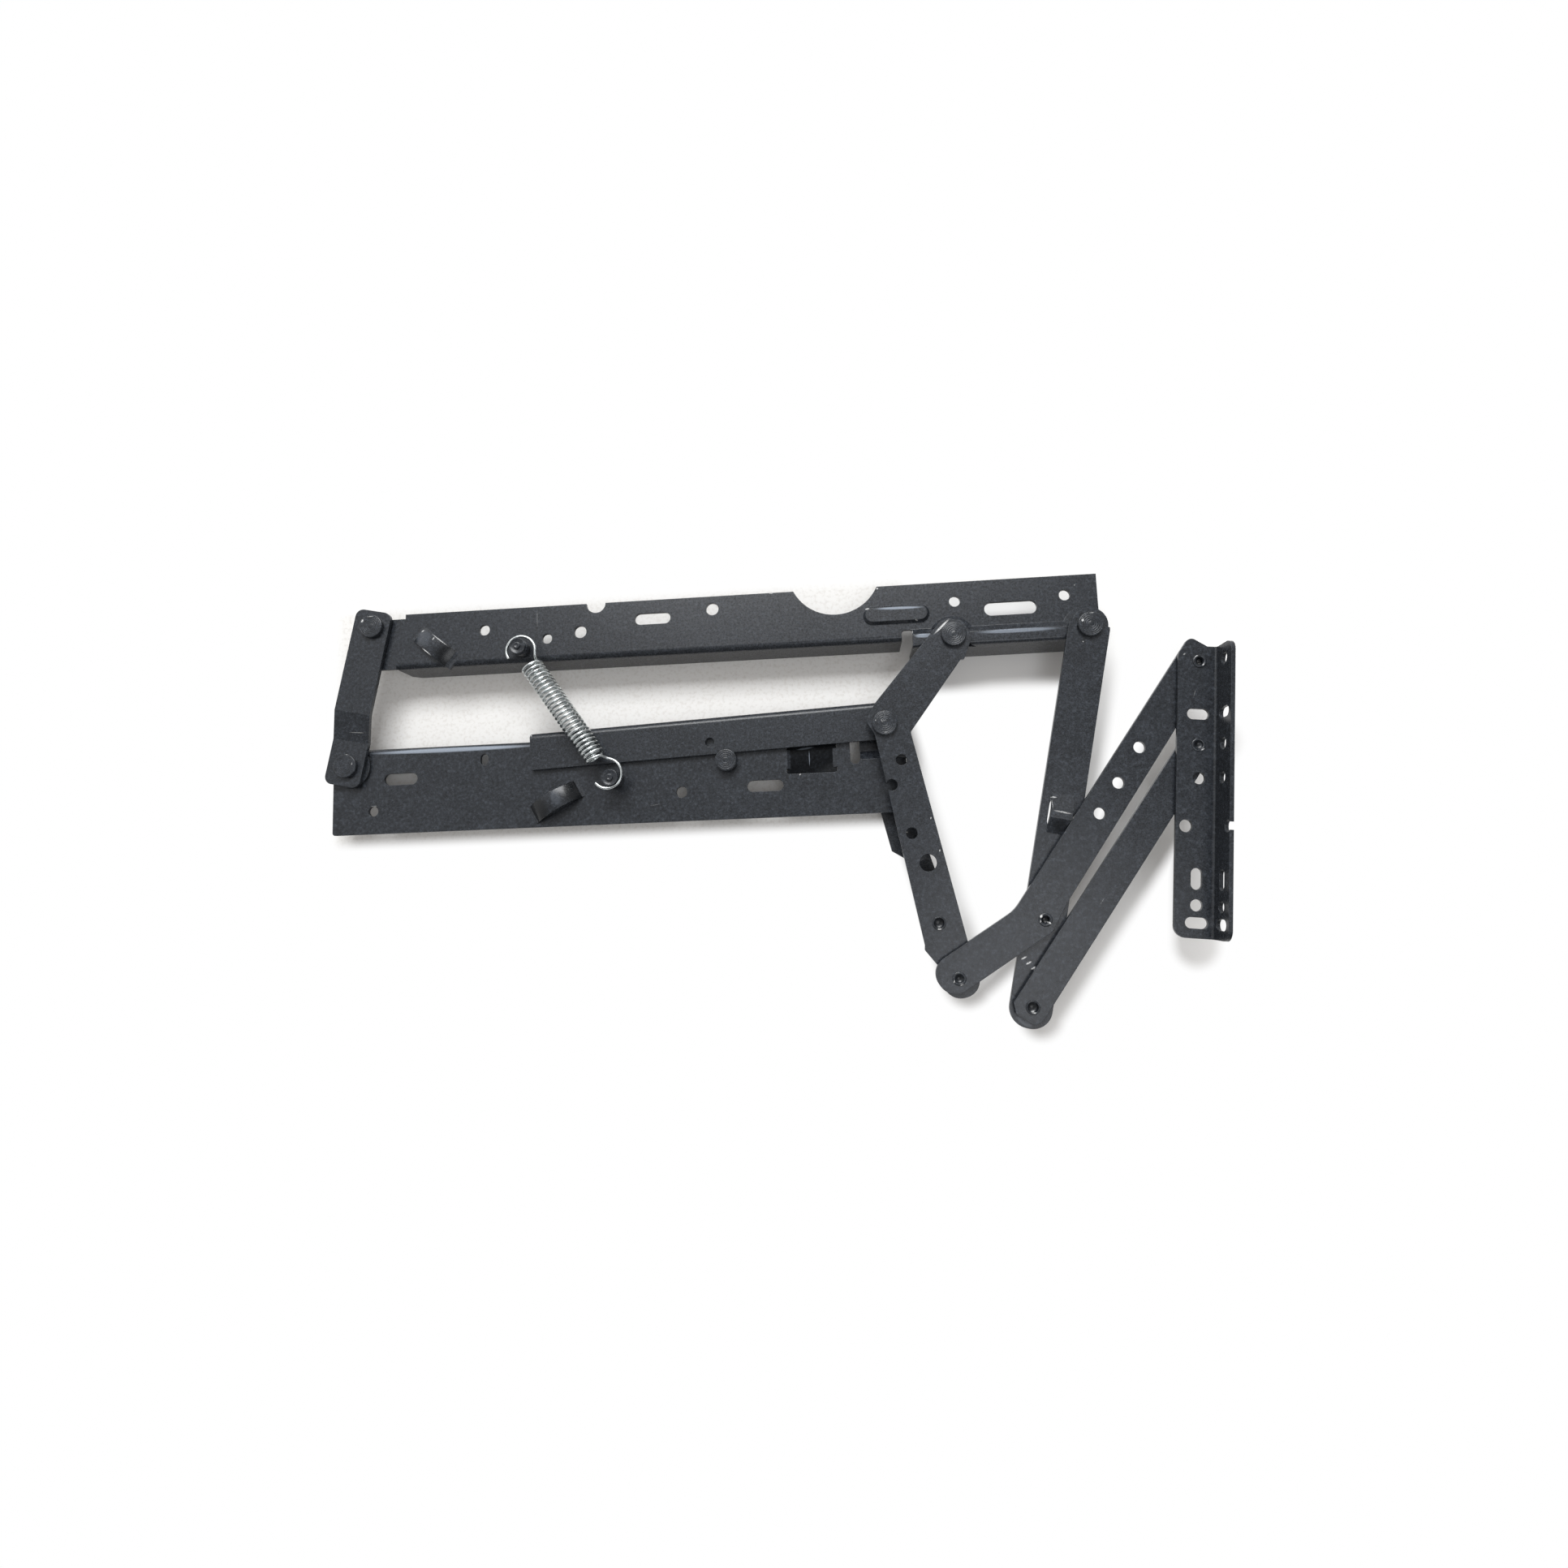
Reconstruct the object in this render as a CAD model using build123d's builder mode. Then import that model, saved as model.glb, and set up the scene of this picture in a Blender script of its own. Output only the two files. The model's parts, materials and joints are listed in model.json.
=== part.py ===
from build123d import *

import os
from math import atan2, cos, degrees, dist, hypot, pi, radians, sin, sqrt, tan

# Recliner mechanism for one side of a chair, laid flat with its outer face up.
# X runs along the base rail towards the footrest, Y is up when the chair stands,
# and Z points out of the chair. The origin is the base rail's rear fixing hole,
# on the back face of its web. All sizes are in millimetres.

# Pivots, as X and Y
REAR_BASE = (-17.0, 32.0)
REAR_SEAT = (3.5, 129.5)
MAIN = (358.5, 42.0)
CRANK_SEAT = (407.0, 99.5)
FRONT_SEAT = (496.0, 101.0)
CRANK_FOOT = (397.0, -124.5)
LINK_CROSS = (453.0, -89.5)
FRONT_FOOT = (441.5, -143.5)
BRACKET_TOP = (560.5, 71.0)
BRACKET_LOW = (555.0, 17.0)

# Sheet and clearances
RAIL_GAUGE = 2.5
STRAP_GAUGE = 3.0
BEND_RADIUS = 1.5
PLAY = 0.1
FIT = 0.05
THIN_WASHER = 1.0
REAR_WASHER = 2.0

# Levels above the back of the base rail's web
FLOOR = -18.5
BASE_FACE = RAIL_GAUGE
SEAT_BACK = 7.0
SEAT_FACE = SEAT_BACK + RAIL_GAUGE
STRIP_RISE = 4.5
STRIP_BACK = SEAT_BACK + STRIP_RISE
STRIP_FACE = SEAT_FACE + STRIP_RISE
LUG_DROP = 5.5
LUG_BACK = -LUG_DROP
LUG_FACE = LUG_BACK + RAIL_GAUGE
CHEEK_FACE = LUG_BACK - THIN_WASHER
CHEEK_BACK = CHEEK_FACE - STRAP_GAUGE
BAR_BACK = BASE_FACE + 1.0
BAR_FACE = BAR_BACK + RAIL_GAUGE
REAR_LINK_BACK = BASE_FACE + REAR_WASHER + PLAY
REAR_LINK_TOP = SEAT_FACE + THIN_WASHER + PLAY
ARM_BACK = STRIP_FACE + THIN_WASHER + PLAY
ARM_FACE = ARM_BACK + STRAP_GAUGE
LINK_BACK = ARM_FACE + THIN_WASHER + PLAY
LINK_FACE = LINK_BACK + STRAP_GAUGE
BRACKET_BACK = LINK_FACE + THIN_WASHER + PLAY
BRACKET_FACE = BRACKET_BACK + RAIL_GAUGE

# Rivets and washers
SHANK = 4.0
MAIN_SHANK = 5.0
HEAD = 8.25
BACK_HEAD = 7.5
HEAD_HEIGHT = 3.0
BACK_HEAD_HEIGHT = 3.0
ROLL = 4.4
ROLL_HEIGHT = 0.7
ROLL_BORE = 2.4
ROLL_DEPTH = 5.0
THIN_WASHER_RADIUS = 9.0
REAR_WASHER_RADIUS = 15.0
BUSH_RADIUS = 7.0
SPACER_RADIUS = 8.0

# Base rail
BASE_REAR = -29.5
BASE_BOTTOM = -16.0
BASE_TOP = 44.4
SLOT_REAR = 335.0
SLOT_WIDTH = 6.8
SLOT_BOTTOM = 18.0
LUG_FRONT = 372.5
LUG_TOP = MAIN[1] + 12.5
LUG_BEND = 20.0
LUG_BEND_RUN = 6.0
LUG_CORNER = 9.0
CORNER = 2.0
BASE_REAR_HOLE = 3.6
BASE_MID_HOLE = 3.85
BASE_MID = (218.9, 4.0)
BASE_SLOTS = [((19.7, 22.0), 24.3, 8.3), ((276.5, 5.9), 24.8, 7.7)]
BASE_KEYHOLE = (80.0, 33.0)
BASE_KEYHOLE_SIZE = (8.0, 5.5)
WINDOW = (308.7, 23.2)
WINDOW_SIZE = (34.6, 20.1)
WINDOW_BRIDGE_WIDTH = 13.0
WINDOW_BRIDGE_DROP = -9.0
BASE_BRIDGE = (131.4, 1.1)
BASE_BRIDGE_HEADING = 28.0
BASE_BRIDGE_LENGTH = 37.8
BASE_BRIDGE_RISE = 9.0
BRIDGE_WIDTH = 12.6
BRIDGE_CREST = 5.0

# Seat rail
SEAT_REAR = 19.0
SEAT_FRONT = 505.0
SEAT_BOTTOM = 99.3
SEAT_TOP = 138.5
TONGUE_STEP = 25.5
TONGUE_TOP = 135.3
TONGUE_REACH = 12.5
TONGUE_CORNER = 9.0
RELIEF_REAR = 373.5
RELIEF_WIDTH = 6.9
RELIEF_TOP = 107.0
RELIEF_CORNER = 2.4
STRIP_BEND = 106.0
STRIP_BEND_RUN = 4.8
STRIP_BOTTOM = 93.2
PAD_RADIUS = 11.0
PAD_SLOPE = 4.5
SMALL_NOTCH = (162.8, 138.5)
SMALL_NOTCH_RADIUS = 6.8
BIG_NOTCH = (329.6, 152.1)
BIG_NOTCH_RADIUS = 31.6
RIB = (370.5, 118.0)
RIB_LENGTH = 45.0
RIB_WIDTH = 13.0
RIB_HEIGHT = 2.5
SEAT_HOLES = [((82.9, 123.9), 3.8), ((127.8, 115.1), 3.55), ((151.5, 118.7), 4.35), ((244.6, 129.5), 4.35)]
SEAT_FRONT_HOLES = [(410.2, 125.0), (483.4, 125.0)]
SEAT_FRONT_HOLE = 3.7
SEAT_SLOTS = [((202.7, 125.3), 25.0, 8.0), ((447.2, 118.2), 35.0, 9.2)]
SEAT_BRIDGE = (47.4, 114.0)
SEAT_BRIDGE_HEADING = -39.8
SEAT_BRIDGE_LENGTH = 32.5
SEAT_BRIDGE_RISE = 4.5
FLANGE_CHAMFER = 5.0

# Straps: each point is given as distance along the line between two pivots and to its left
STRAP_END = 12.5
REAR_LINK_WIDTH = 26.0
REAR_LINK_CENTRE = 1.1
REAR_LINK_ENDS = (-14.0, 11.6)
REAR_LINK_CORNER = 5.5
REAR_JOGGLE = 18.5
REAR_JOGGLE_RUN = 19.5
ARM_HOLES = [((26.3, 3.9), 3.65), ((40.6, -6.6), 3.8), ((74.5, -2.9), 3.8), ((95.7, 2.1), 5.7)]
CHEEK_RIVET = (134.6, -2.2)
CHEEK_CENTRE = -5.0
CHEEK_WIDTH = 24.0
CHEEK_STEP = 82.0
CHEEK_NECK = 4.0
CHEEK_EYE_CORNER = 10.0
CHEEK_FOOT_CORNER = 6.0
CHEEK_BEND = 94.5
CHEEK_BEND_RUN = 28.0
CHEEK_LENGTH = CHEEK_RIVET[0] + 11.4
BENT_LINK_HOLES = [(126.2, 4.2), (99.4, 4.2), (76.2, 4.5)]
BENT_LINK_HOLE = 3.8
FRONT_BRIDGE = (127.0, -0.4)
FRONT_BRIDGE_LENGTH = 25.0
FRONT_BRIDGE_RISE = 4.5
FRONT_BRIDGE_WIDTH = 14.0
FRONT_BRIDGE_GAP = 0.7
FRONT_EYE = 11.9
FRONT_LINK_SIDES = (-13.4, 13.3)
BENT_LINK_SIDE = (19.3, 12.6)
STOP_GAP = 0.3

# Footrest bracket
BRACKET_ENDS = (-9.8, 175.8)
BRACKET_REAR = -13.2
BRACKET_FRONT = 13.1
BRACKET_DEPTH = 23.3
BRACKET_CORNER = 7.0
BRACKET_HOLES = [((75.6, 0.6), 3.8), ((106.2, -7.0), 4.0), ((155.4, 0.1), 3.8)]
BRACKET_CROSS_SLOTS = [((34.5, -0.5), 13.6, 7.0), ((166.3, 0.3), 14.0, 7.0)]
BRACKET_LONG_SLOT = ((139.0, -0.1), 13.6, 7.0)

# Support bar, in line with a line through the main pivot
BAR_TILT = 2.37
BAR_LENGTH = 244.4
BAR_BOTTOM = -8.4
BAR_TOP = 17.4
BAR_NOSE = 9.0
BAR_FLANGE_DEPTH = 14.5
BAR_FLANGE_END = -4.0
BAR_CORNER = 5.0
BAR_HOLE = (-118.9, 0.0)
BAR_HOLE_RADIUS = 3.15
GUIDE_PIN = 5.0
GUIDE_PIN_AT = -108.5
GUIDE_HEAD = 7.5

# Return spring and its studs
STUD_LOW = (173.3, 14.2)
STUD_HIGH = (110.2, 108.3)
SPRING_LEVEL = 18.0
STUD = 3.2
STUD_NECK = 5.2
STUD_LIP = 5.6
STUD_LIP_HEIGHT = 0.6
STUD_BOSS = 2.4
STUD_BOSS_HEIGHT = 1.2
STUD_BACK_HEAD = 5.0
STUD_BACK_HEIGHT = 2.0
WIRE = 1.0
WIRE_SIDES = 8
COIL = 6.85
HOOK = 10.0
COIL_START = 16.7
COIL_TURNS = 25
HOOK_START = 50.0
HOOK_END = 265.0
HOOK_GAP = 0.1
SLEEVE = 5.8

os.makedirs("parts", exist_ok=True)


def spot(start, end, along, left=0.0):
    """Point `along` mm from start towards end, and `left` mm to the left of that line"""
    length = dist(start, end)
    ux = (end[0] - start[0]) / length
    uy = (end[1] - start[1]) / length
    return (start[0] + along * ux - left * uy, start[1] + along * uy + left * ux)


def heading(start, end):
    """Direction from start to end, in degrees from X"""
    return degrees(atan2(end[1] - start[1], end[0] - start[0]))


def split_corners(corners):
    """Points and corner radii of an outline given as (point, radius) pairs"""
    return [point for point, radius in corners], [radius for point, radius in corners]


def angle_section(free_edge, bend_face, back, face, flange_end):
    """Section of a pressed angle: corners of its web and of the flange going back"""
    side = 1 if bend_face > free_edge else -1
    inner = bend_face - side * (face - back)
    return [
        ((free_edge, back), 0),
        ((free_edge, face), 0),
        ((bend_face, face), BEND_RADIUS + face - back),
        ((bend_face, flange_end), 0),
        ((inner, flange_end), 0),
        ((inner, back), BEND_RADIUS),
    ]


def joggled_section(first, last, bend, run, back, rise, gauge):
    """Side view of a strip whose back goes from `back` to `back + rise` over `run`"""
    shift = -gauge * tan(atan2(rise, abs(run)) / 2) * (1 if run > 0 else -1)
    return [
        (first, back),
        (bend, back),
        (bend + run, back + rise),
        (last, back + rise),
        (last, back + rise + gauge),
        (bend + run + shift, back + rise + gauge),
        (bend + shift, back + gauge),
        (first, back + gauge),
    ]


def strap_plane(start, end):
    """Plane with its x along the line of the pivots and its y along Z"""
    ux, uy = spot((0, 0), (end[0] - start[0], end[1] - start[1]), 1)
    return Plane(origin=(start[0], start[1], 0), x_dir=(ux, uy, 0), z_dir=(uy, -ux, 0))


def flat_plane(start, end, level):
    """Plane at a level, with its x along the line of the pivots"""
    ux, uy = spot((0, 0), (end[0] - start[0], end[1] - start[1]), 1)
    return Plane(origin=(start[0], start[1], level), x_dir=(ux, uy, 0), z_dir=(0, 0, 1))


def bridge_lance(centre, direction, back, gauge, length, width, rise, gap=PLAY):
    """Strip cut free along both sides and pressed out of the sheet by `rise`"""
    level = Plane(
        origin=(centre[0], centre[1], back),
        x_dir=(cos(radians(direction)), sin(radians(direction)), 0),
        z_dir=(0, 0, 1),
    )
    with BuildSketch(level) as opening:
        SlotOverall(length, width + 2 * gap)
    extrude(opening.sketch, amount=gauge, mode=Mode.SUBTRACT)
    side = Plane(origin=level.origin, x_dir=level.x_dir, z_dir=-level.y_dir)
    half = length / 2
    crest = BRIDGE_CREST / 2
    slope = atan2(abs(rise), half - crest)
    shift = gauge * tan(slope / 2) * (1 if rise > 0 else -1)
    with BuildSketch(side) as bridge:
        with BuildLine():
            Polyline(
                (-half - gauge, 0),
                (-half, 0),
                (-crest, rise),
                (crest, rise),
                (half, 0),
                (half + gauge, 0),
                (half + gauge, gauge),
                (half + shift, gauge),
                (crest + shift, gauge + rise),
                (-crest - shift, gauge + rise),
                (-half - shift, gauge),
                (-half - gauge, gauge),
                close=True,
            )
        make_face()
    extrude(bridge.sketch, amount=width / 2, both=True)


def finish(part, label):
    """Name a finished piece and write it"""
    part.label = label
    export_step(part, f"parts/{label}.step")


def washer(label, centre, back, thickness, radius, bore):
    """Flat ring on a pivot"""
    with BuildPart() as ring:
        with BuildSketch(Plane.XY.offset(back)):
            with Locations(centre):
                Circle(radius)
                Circle(bore, mode=Mode.SUBTRACT)
        extrude(amount=thickness)
    finish(ring.part, label)


def turned(label, centre, profile):
    """Solid of revolution about Z at a pivot, from (radius, level) points"""
    with BuildPart() as body:
        with BuildSketch(Plane(origin=(centre[0], centre[1], 0), x_dir=(1, 0, 0), z_dir=(0, -1, 0))):
            with BuildLine():
                Polyline(*profile, close=True)
            make_face()
        revolve(axis=Axis((centre[0], centre[1], 0), (0, 0, 1)))
    finish(body.part, label)


def head_profile(level, radius, height):
    """Outline of a low rivet head that stands on `level`, from its rim to the axis"""
    step = 0.18 * abs(height)
    top = level + height
    lip = step if height > 0 else -step
    return [(radius, level), (radius, top - lip), (radius - step, top), (0, top)]


def headed_rivet(label, centre, shank, back, face):
    """Rivet with a wide head at each end; `back` and `face` are the levels under the heads"""
    profile = [(shank, back), (shank, face)]
    front = head_profile(face, HEAD, HEAD_HEIGHT)
    rear = head_profile(back, BACK_HEAD, -BACK_HEAD_HEIGHT)
    turned(label, centre, profile + front + rear[::-1])


def rolled_end(face):
    """Outline of the rolled end of a tubular rivet, with the bore down its middle"""
    top = face + ROLL_HEIGHT
    return [
        (ROLL, face),
        (ROLL, face + 0.4 * ROLL_HEIGHT),
        (0.5 * (ROLL + ROLL_BORE), top),
        (ROLL_BORE, top - 0.3 * ROLL_HEIGHT),
        (ROLL_BORE, top - ROLL_DEPTH),
        (0, top - ROLL_DEPTH - 0.5 * ROLL_BORE),
    ]


def tubular_rivet(label, centre, back, face):
    """Rivet with a wide head behind and a rolled tubular end in front"""
    rear = head_profile(back, BACK_HEAD, -BACK_HEAD_HEIGHT)
    turned(label, centre, [(SHANK, back), (SHANK, face)] + rolled_end(face) + rear[::-1])


# Base rail: an angle with its flange on top and a joggled lug for the main pivot
with BuildPart() as base_rail:
    points, radii = split_corners(angle_section(BASE_BOTTOM, BASE_TOP, 0, BASE_FACE, FLOOR))
    with BuildSketch(Plane.YZ.offset(BASE_REAR)):
        with BuildLine():
            FilletPolyline(*points, radius=radii, close=True)
        make_face()
    extrude(amount=SLOT_REAR - BASE_REAR)
    with BuildSketch(Plane.YZ.offset(SLOT_REAR)):
        with BuildLine():
            Polyline(
                *joggled_section(BASE_BOTTOM, LUG_TOP, LUG_BEND, LUG_BEND_RUN, 0, -LUG_DROP, RAIL_GAUGE),
                close=True,
            )
        make_face()
    extrude(amount=LUG_FRONT - SLOT_REAR)
    slot_centre = SLOT_REAR + SLOT_WIDTH / 2
    with BuildSketch(Plane.XY.offset(LUG_BACK)):
        with Locations((slot_centre, SLOT_BOTTOM + SLOT_WIDTH / 2)):
            Circle(SLOT_WIDTH / 2)
            Rectangle(SLOT_WIDTH, LUG_TOP - SLOT_BOTTOM, align=(Align.CENTER, Align.MIN))
    extrude(amount=BASE_FACE - LUG_BACK, mode=Mode.SUBTRACT)
    top_corners = base_rail.edges().filter_by(Axis.Z).group_by(Axis.Y)[-1]
    fillet(top_corners, LUG_CORNER)
    low_corners = base_rail.edges().filter_by(Axis.Z).group_by(Axis.Y)[0]
    fillet(low_corners, CORNER)
    with BuildSketch() as base_cuts:
        Circle(BASE_REAR_HOLE)
        with Locations(BASE_MID):
            Circle(BASE_MID_HOLE)
        for centre, length, width in BASE_SLOTS:
            with Locations(centre):
                SlotOverall(length, width)
        with Locations(BASE_KEYHOLE):
            SlotOverall(*BASE_KEYHOLE_SIZE, rotation=90)
        for centre, radius in ((REAR_BASE, SHANK), (STUD_LOW, STUD)):
            with Locations(centre):
                Circle(radius + FIT)
        with Locations(spot(MAIN, (MAIN[0] + cos(radians(BAR_TILT)), MAIN[1] + sin(radians(BAR_TILT))),
                            GUIDE_PIN_AT, BAR_BOTTOM - GUIDE_PIN - PLAY)):
            Circle(SHANK + FIT)
        with Locations(WINDOW):
            RectangleRounded(*WINDOW_SIZE, CORNER)
    extrude(base_cuts.sketch, amount=BASE_FACE, mode=Mode.SUBTRACT)
    with BuildSketch(Plane.XY.offset(LUG_BACK)):
        with Locations(MAIN):
            Circle(MAIN_SHANK + FIT)
    extrude(amount=RAIL_GAUGE, mode=Mode.SUBTRACT)
    bridge_lance(BASE_BRIDGE, BASE_BRIDGE_HEADING, 0, RAIL_GAUGE, BASE_BRIDGE_LENGTH, BRIDGE_WIDTH,
                 BASE_BRIDGE_RISE)
    bridge_lance(WINDOW, 0, 0, RAIL_GAUGE, WINDOW_SIZE[0], WINDOW_BRIDGE_WIDTH, WINDOW_BRIDGE_DROP)
finish(base_rail.part, "base_rail")

# Seat rail: an angle with its flange below, a rear tongue and a raised front strip
with BuildPart() as seat_rail:
    points, radii = split_corners(angle_section(SEAT_TOP, SEAT_BOTTOM, SEAT_BACK, SEAT_FACE, FLOOR))
    relief_front = RELIEF_REAR + RELIEF_WIDTH
    with BuildSketch(Plane.YZ.offset(SEAT_REAR)):
        with BuildLine():
            FilletPolyline(*points, radius=radii, close=True)
        make_face()
    extrude(amount=RELIEF_REAR + RELIEF_WIDTH / 2 - SEAT_REAR)
    flange_corner = seat_rail.edges().filter_by(Axis.Y).group_by(Axis.Z)[0].sort_by(Axis.X)[0]
    chamfer(flange_corner, FLANGE_CHAMFER)
    with BuildSketch(Plane.YZ.offset(RELIEF_REAR + RELIEF_WIDTH / 2)) as strip_section:
        with BuildLine():
            shift = RAIL_GAUGE * tan(atan2(STRIP_RISE, STRIP_BEND_RUN) / 2)
            FilletPolyline(
                (SEAT_TOP, SEAT_BACK),
                (STRIP_BEND, SEAT_BACK),
                (STRIP_BEND - STRIP_BEND_RUN, STRIP_BACK),
                (STRIP_BOTTOM + RAIL_GAUGE, STRIP_BACK),
                (STRIP_BOTTOM + RAIL_GAUGE, FLOOR),
                (STRIP_BOTTOM, FLOOR),
                (STRIP_BOTTOM, STRIP_FACE),
                (STRIP_BEND - STRIP_BEND_RUN + shift, STRIP_FACE),
                (STRIP_BEND + shift, SEAT_FACE),
                (SEAT_TOP, SEAT_FACE),
                radius=[0, 0, 0, BEND_RADIUS / 2, 0, 0, BEND_RADIUS + RAIL_GAUGE / 2, 0.6, 0.6, 0],
                close=True,
            )
        make_face()
    extrude(amount=SEAT_FRONT - RELIEF_REAR - RELIEF_WIDTH / 2)
    tongue_end = REAR_SEAT[0] - TONGUE_REACH
    with BuildSketch(Plane.XY.offset(SEAT_BACK)):
        with BuildLine():
            FilletPolyline(
                (SEAT_REAR + 1, SEAT_BOTTOM + BEND_RADIUS + RAIL_GAUGE),
                (SEAT_REAR + 1, TONGUE_TOP),
                (tongue_end, TONGUE_TOP),
                (tongue_end, REAR_SEAT[1] - TONGUE_REACH),
                (tongue_end + TONGUE_REACH, SEAT_BOTTOM),
                (SEAT_REAR, SEAT_BOTTOM),
                (SEAT_REAR, SEAT_BOTTOM + BEND_RADIUS + RAIL_GAUGE),
                radius=[0, 0, TONGUE_CORNER / 2, TONGUE_CORNER, TONGUE_CORNER / 2, 0, 0],
                close=True,
            )
        make_face()
    extrude(amount=RAIL_GAUGE)
    with BuildSketch(Plane.XY.offset(SEAT_BACK)):
        with Locations(((SEAT_REAR + TONGUE_STEP) / 2, SEAT_TOP)):
            Rectangle(TONGUE_STEP - SEAT_REAR, 2 * (SEAT_TOP - TONGUE_TOP))
        with Locations(SMALL_NOTCH):
            Circle(SMALL_NOTCH_RADIUS)
        with Locations(BIG_NOTCH):
            Circle(BIG_NOTCH_RADIUS)
        for centre, radius in SEAT_HOLES:
            with Locations(centre):
                Circle(radius)
        with Locations(*SEAT_FRONT_HOLES):
            Circle(SEAT_FRONT_HOLE)
        for centre, length, width in SEAT_SLOTS:
            with Locations(centre):
                SlotOverall(length, width)
        with Locations(REAR_SEAT):
            Circle(SHANK + FIT)
        with Locations(STUD_HIGH):
            Circle(STUD + FIT)
    extrude(amount=RAIL_GAUGE, mode=Mode.SUBTRACT)
    with BuildSketch(Plane.XY.offset(FLOOR)):
        with BuildLine():
            FilletPolyline(
                (relief_front, STRIP_BOTTOM - 1),
                (relief_front, RELIEF_TOP),
                (RELIEF_REAR, RELIEF_TOP),
                (RELIEF_REAR, STRIP_BOTTOM - 1),
                radius=[0, 1, RELIEF_CORNER, 0],
                close=True,
            )
        make_face()
    extrude(amount=STRIP_FACE - FLOOR, mode=Mode.SUBTRACT)
    with BuildSketch(Plane.XY.offset(SEAT_BACK)):
        with Locations(CRANK_SEAT, FRONT_SEAT):
            Circle(PAD_RADIUS - 1)
    extrude(amount=STRIP_BACK - SEAT_BACK, mode=Mode.SUBTRACT)
    for centre in (CRANK_SEAT, FRONT_SEAT):
        profile = Plane(origin=(centre[0], centre[1], 0), x_dir=(1, 0, 0), z_dir=(0, -1, 0))
        with BuildSketch(profile) as pad:
            with BuildLine():
                Polyline(
                    (0, STRIP_FACE),
                    (PAD_RADIUS, STRIP_FACE),
                    (PAD_RADIUS + PAD_SLOPE, SEAT_FACE),
                    (PAD_RADIUS + PAD_SLOPE, SEAT_FACE - RAIL_GAUGE / 2),
                    (PAD_RADIUS - 1, SEAT_FACE - RAIL_GAUGE / 2 + 1),
                    (PAD_RADIUS - 1, STRIP_BACK),
                    (0, STRIP_BACK),
                    close=True,
                )
            make_face()
        revolve(pad.sketch, axis=Axis((centre[0], centre[1], 0), (0, 0, 1)), revolution_arc=180)
    with BuildSketch(Plane.XY.offset(SEAT_BACK)):
        with Locations((SEAT_FRONT, STRIP_BOTTOM)):
            Rectangle(2 * PAD_RADIUS, SEAT_TOP - STRIP_BOTTOM, align=(Align.MIN, Align.MIN))
        with Locations(CRANK_SEAT, FRONT_SEAT):
            Circle(SHANK + FIT)
    extrude(amount=STRIP_FACE - SEAT_BACK, mode=Mode.SUBTRACT)
    with BuildSketch(Plane.XY.offset(SEAT_FACE)):
        with Locations(RIB):
            SlotOverall(RIB_LENGTH, RIB_WIDTH)
    extrude(amount=RIB_HEIGHT, taper=35)
    with BuildSketch(Plane.XY.offset(SEAT_BACK)):
        with Locations(RIB):
            SlotOverall(RIB_LENGTH - 2 * RAIL_GAUGE, RIB_WIDTH - 2 * RAIL_GAUGE)
    extrude(amount=RIB_HEIGHT, taper=20, mode=Mode.SUBTRACT)
    bridge_lance(SEAT_BRIDGE, SEAT_BRIDGE_HEADING, SEAT_BACK, RAIL_GAUGE, SEAT_BRIDGE_LENGTH,
                 BRIDGE_WIDTH, SEAT_BRIDGE_RISE)
finish(seat_rail.part, "seat_rail")

# Rear link: a joggled strap from the base rail out to the face of the seat rail
with BuildPart() as rear_link:
    rear_length = dist(REAR_BASE, REAR_SEAT)
    with BuildSketch(strap_plane(REAR_BASE, REAR_SEAT).offset(-REAR_LINK_CENTRE)):
        with BuildLine():
            Polyline(
                *joggled_section(REAR_LINK_ENDS[0], rear_length + REAR_LINK_ENDS[1], REAR_JOGGLE,
                                 REAR_JOGGLE_RUN, REAR_LINK_BACK, REAR_LINK_TOP - REAR_LINK_BACK,
                                 STRAP_GAUGE),
                close=True,
            )
        make_face()
    extrude(amount=REAR_LINK_WIDTH / 2, both=True)
    fillet(rear_link.edges().filter_by(Axis.Z), REAR_LINK_CORNER)
    with BuildSketch(Plane.XY.offset(REAR_LINK_BACK)):
        with Locations(REAR_BASE, REAR_SEAT):
            Circle(SHANK + FIT)
    extrude(amount=REAR_LINK_TOP + STRAP_GAUGE - REAR_LINK_BACK, mode=Mode.SUBTRACT)
finish(rear_link.part, "rear_link")

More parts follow.
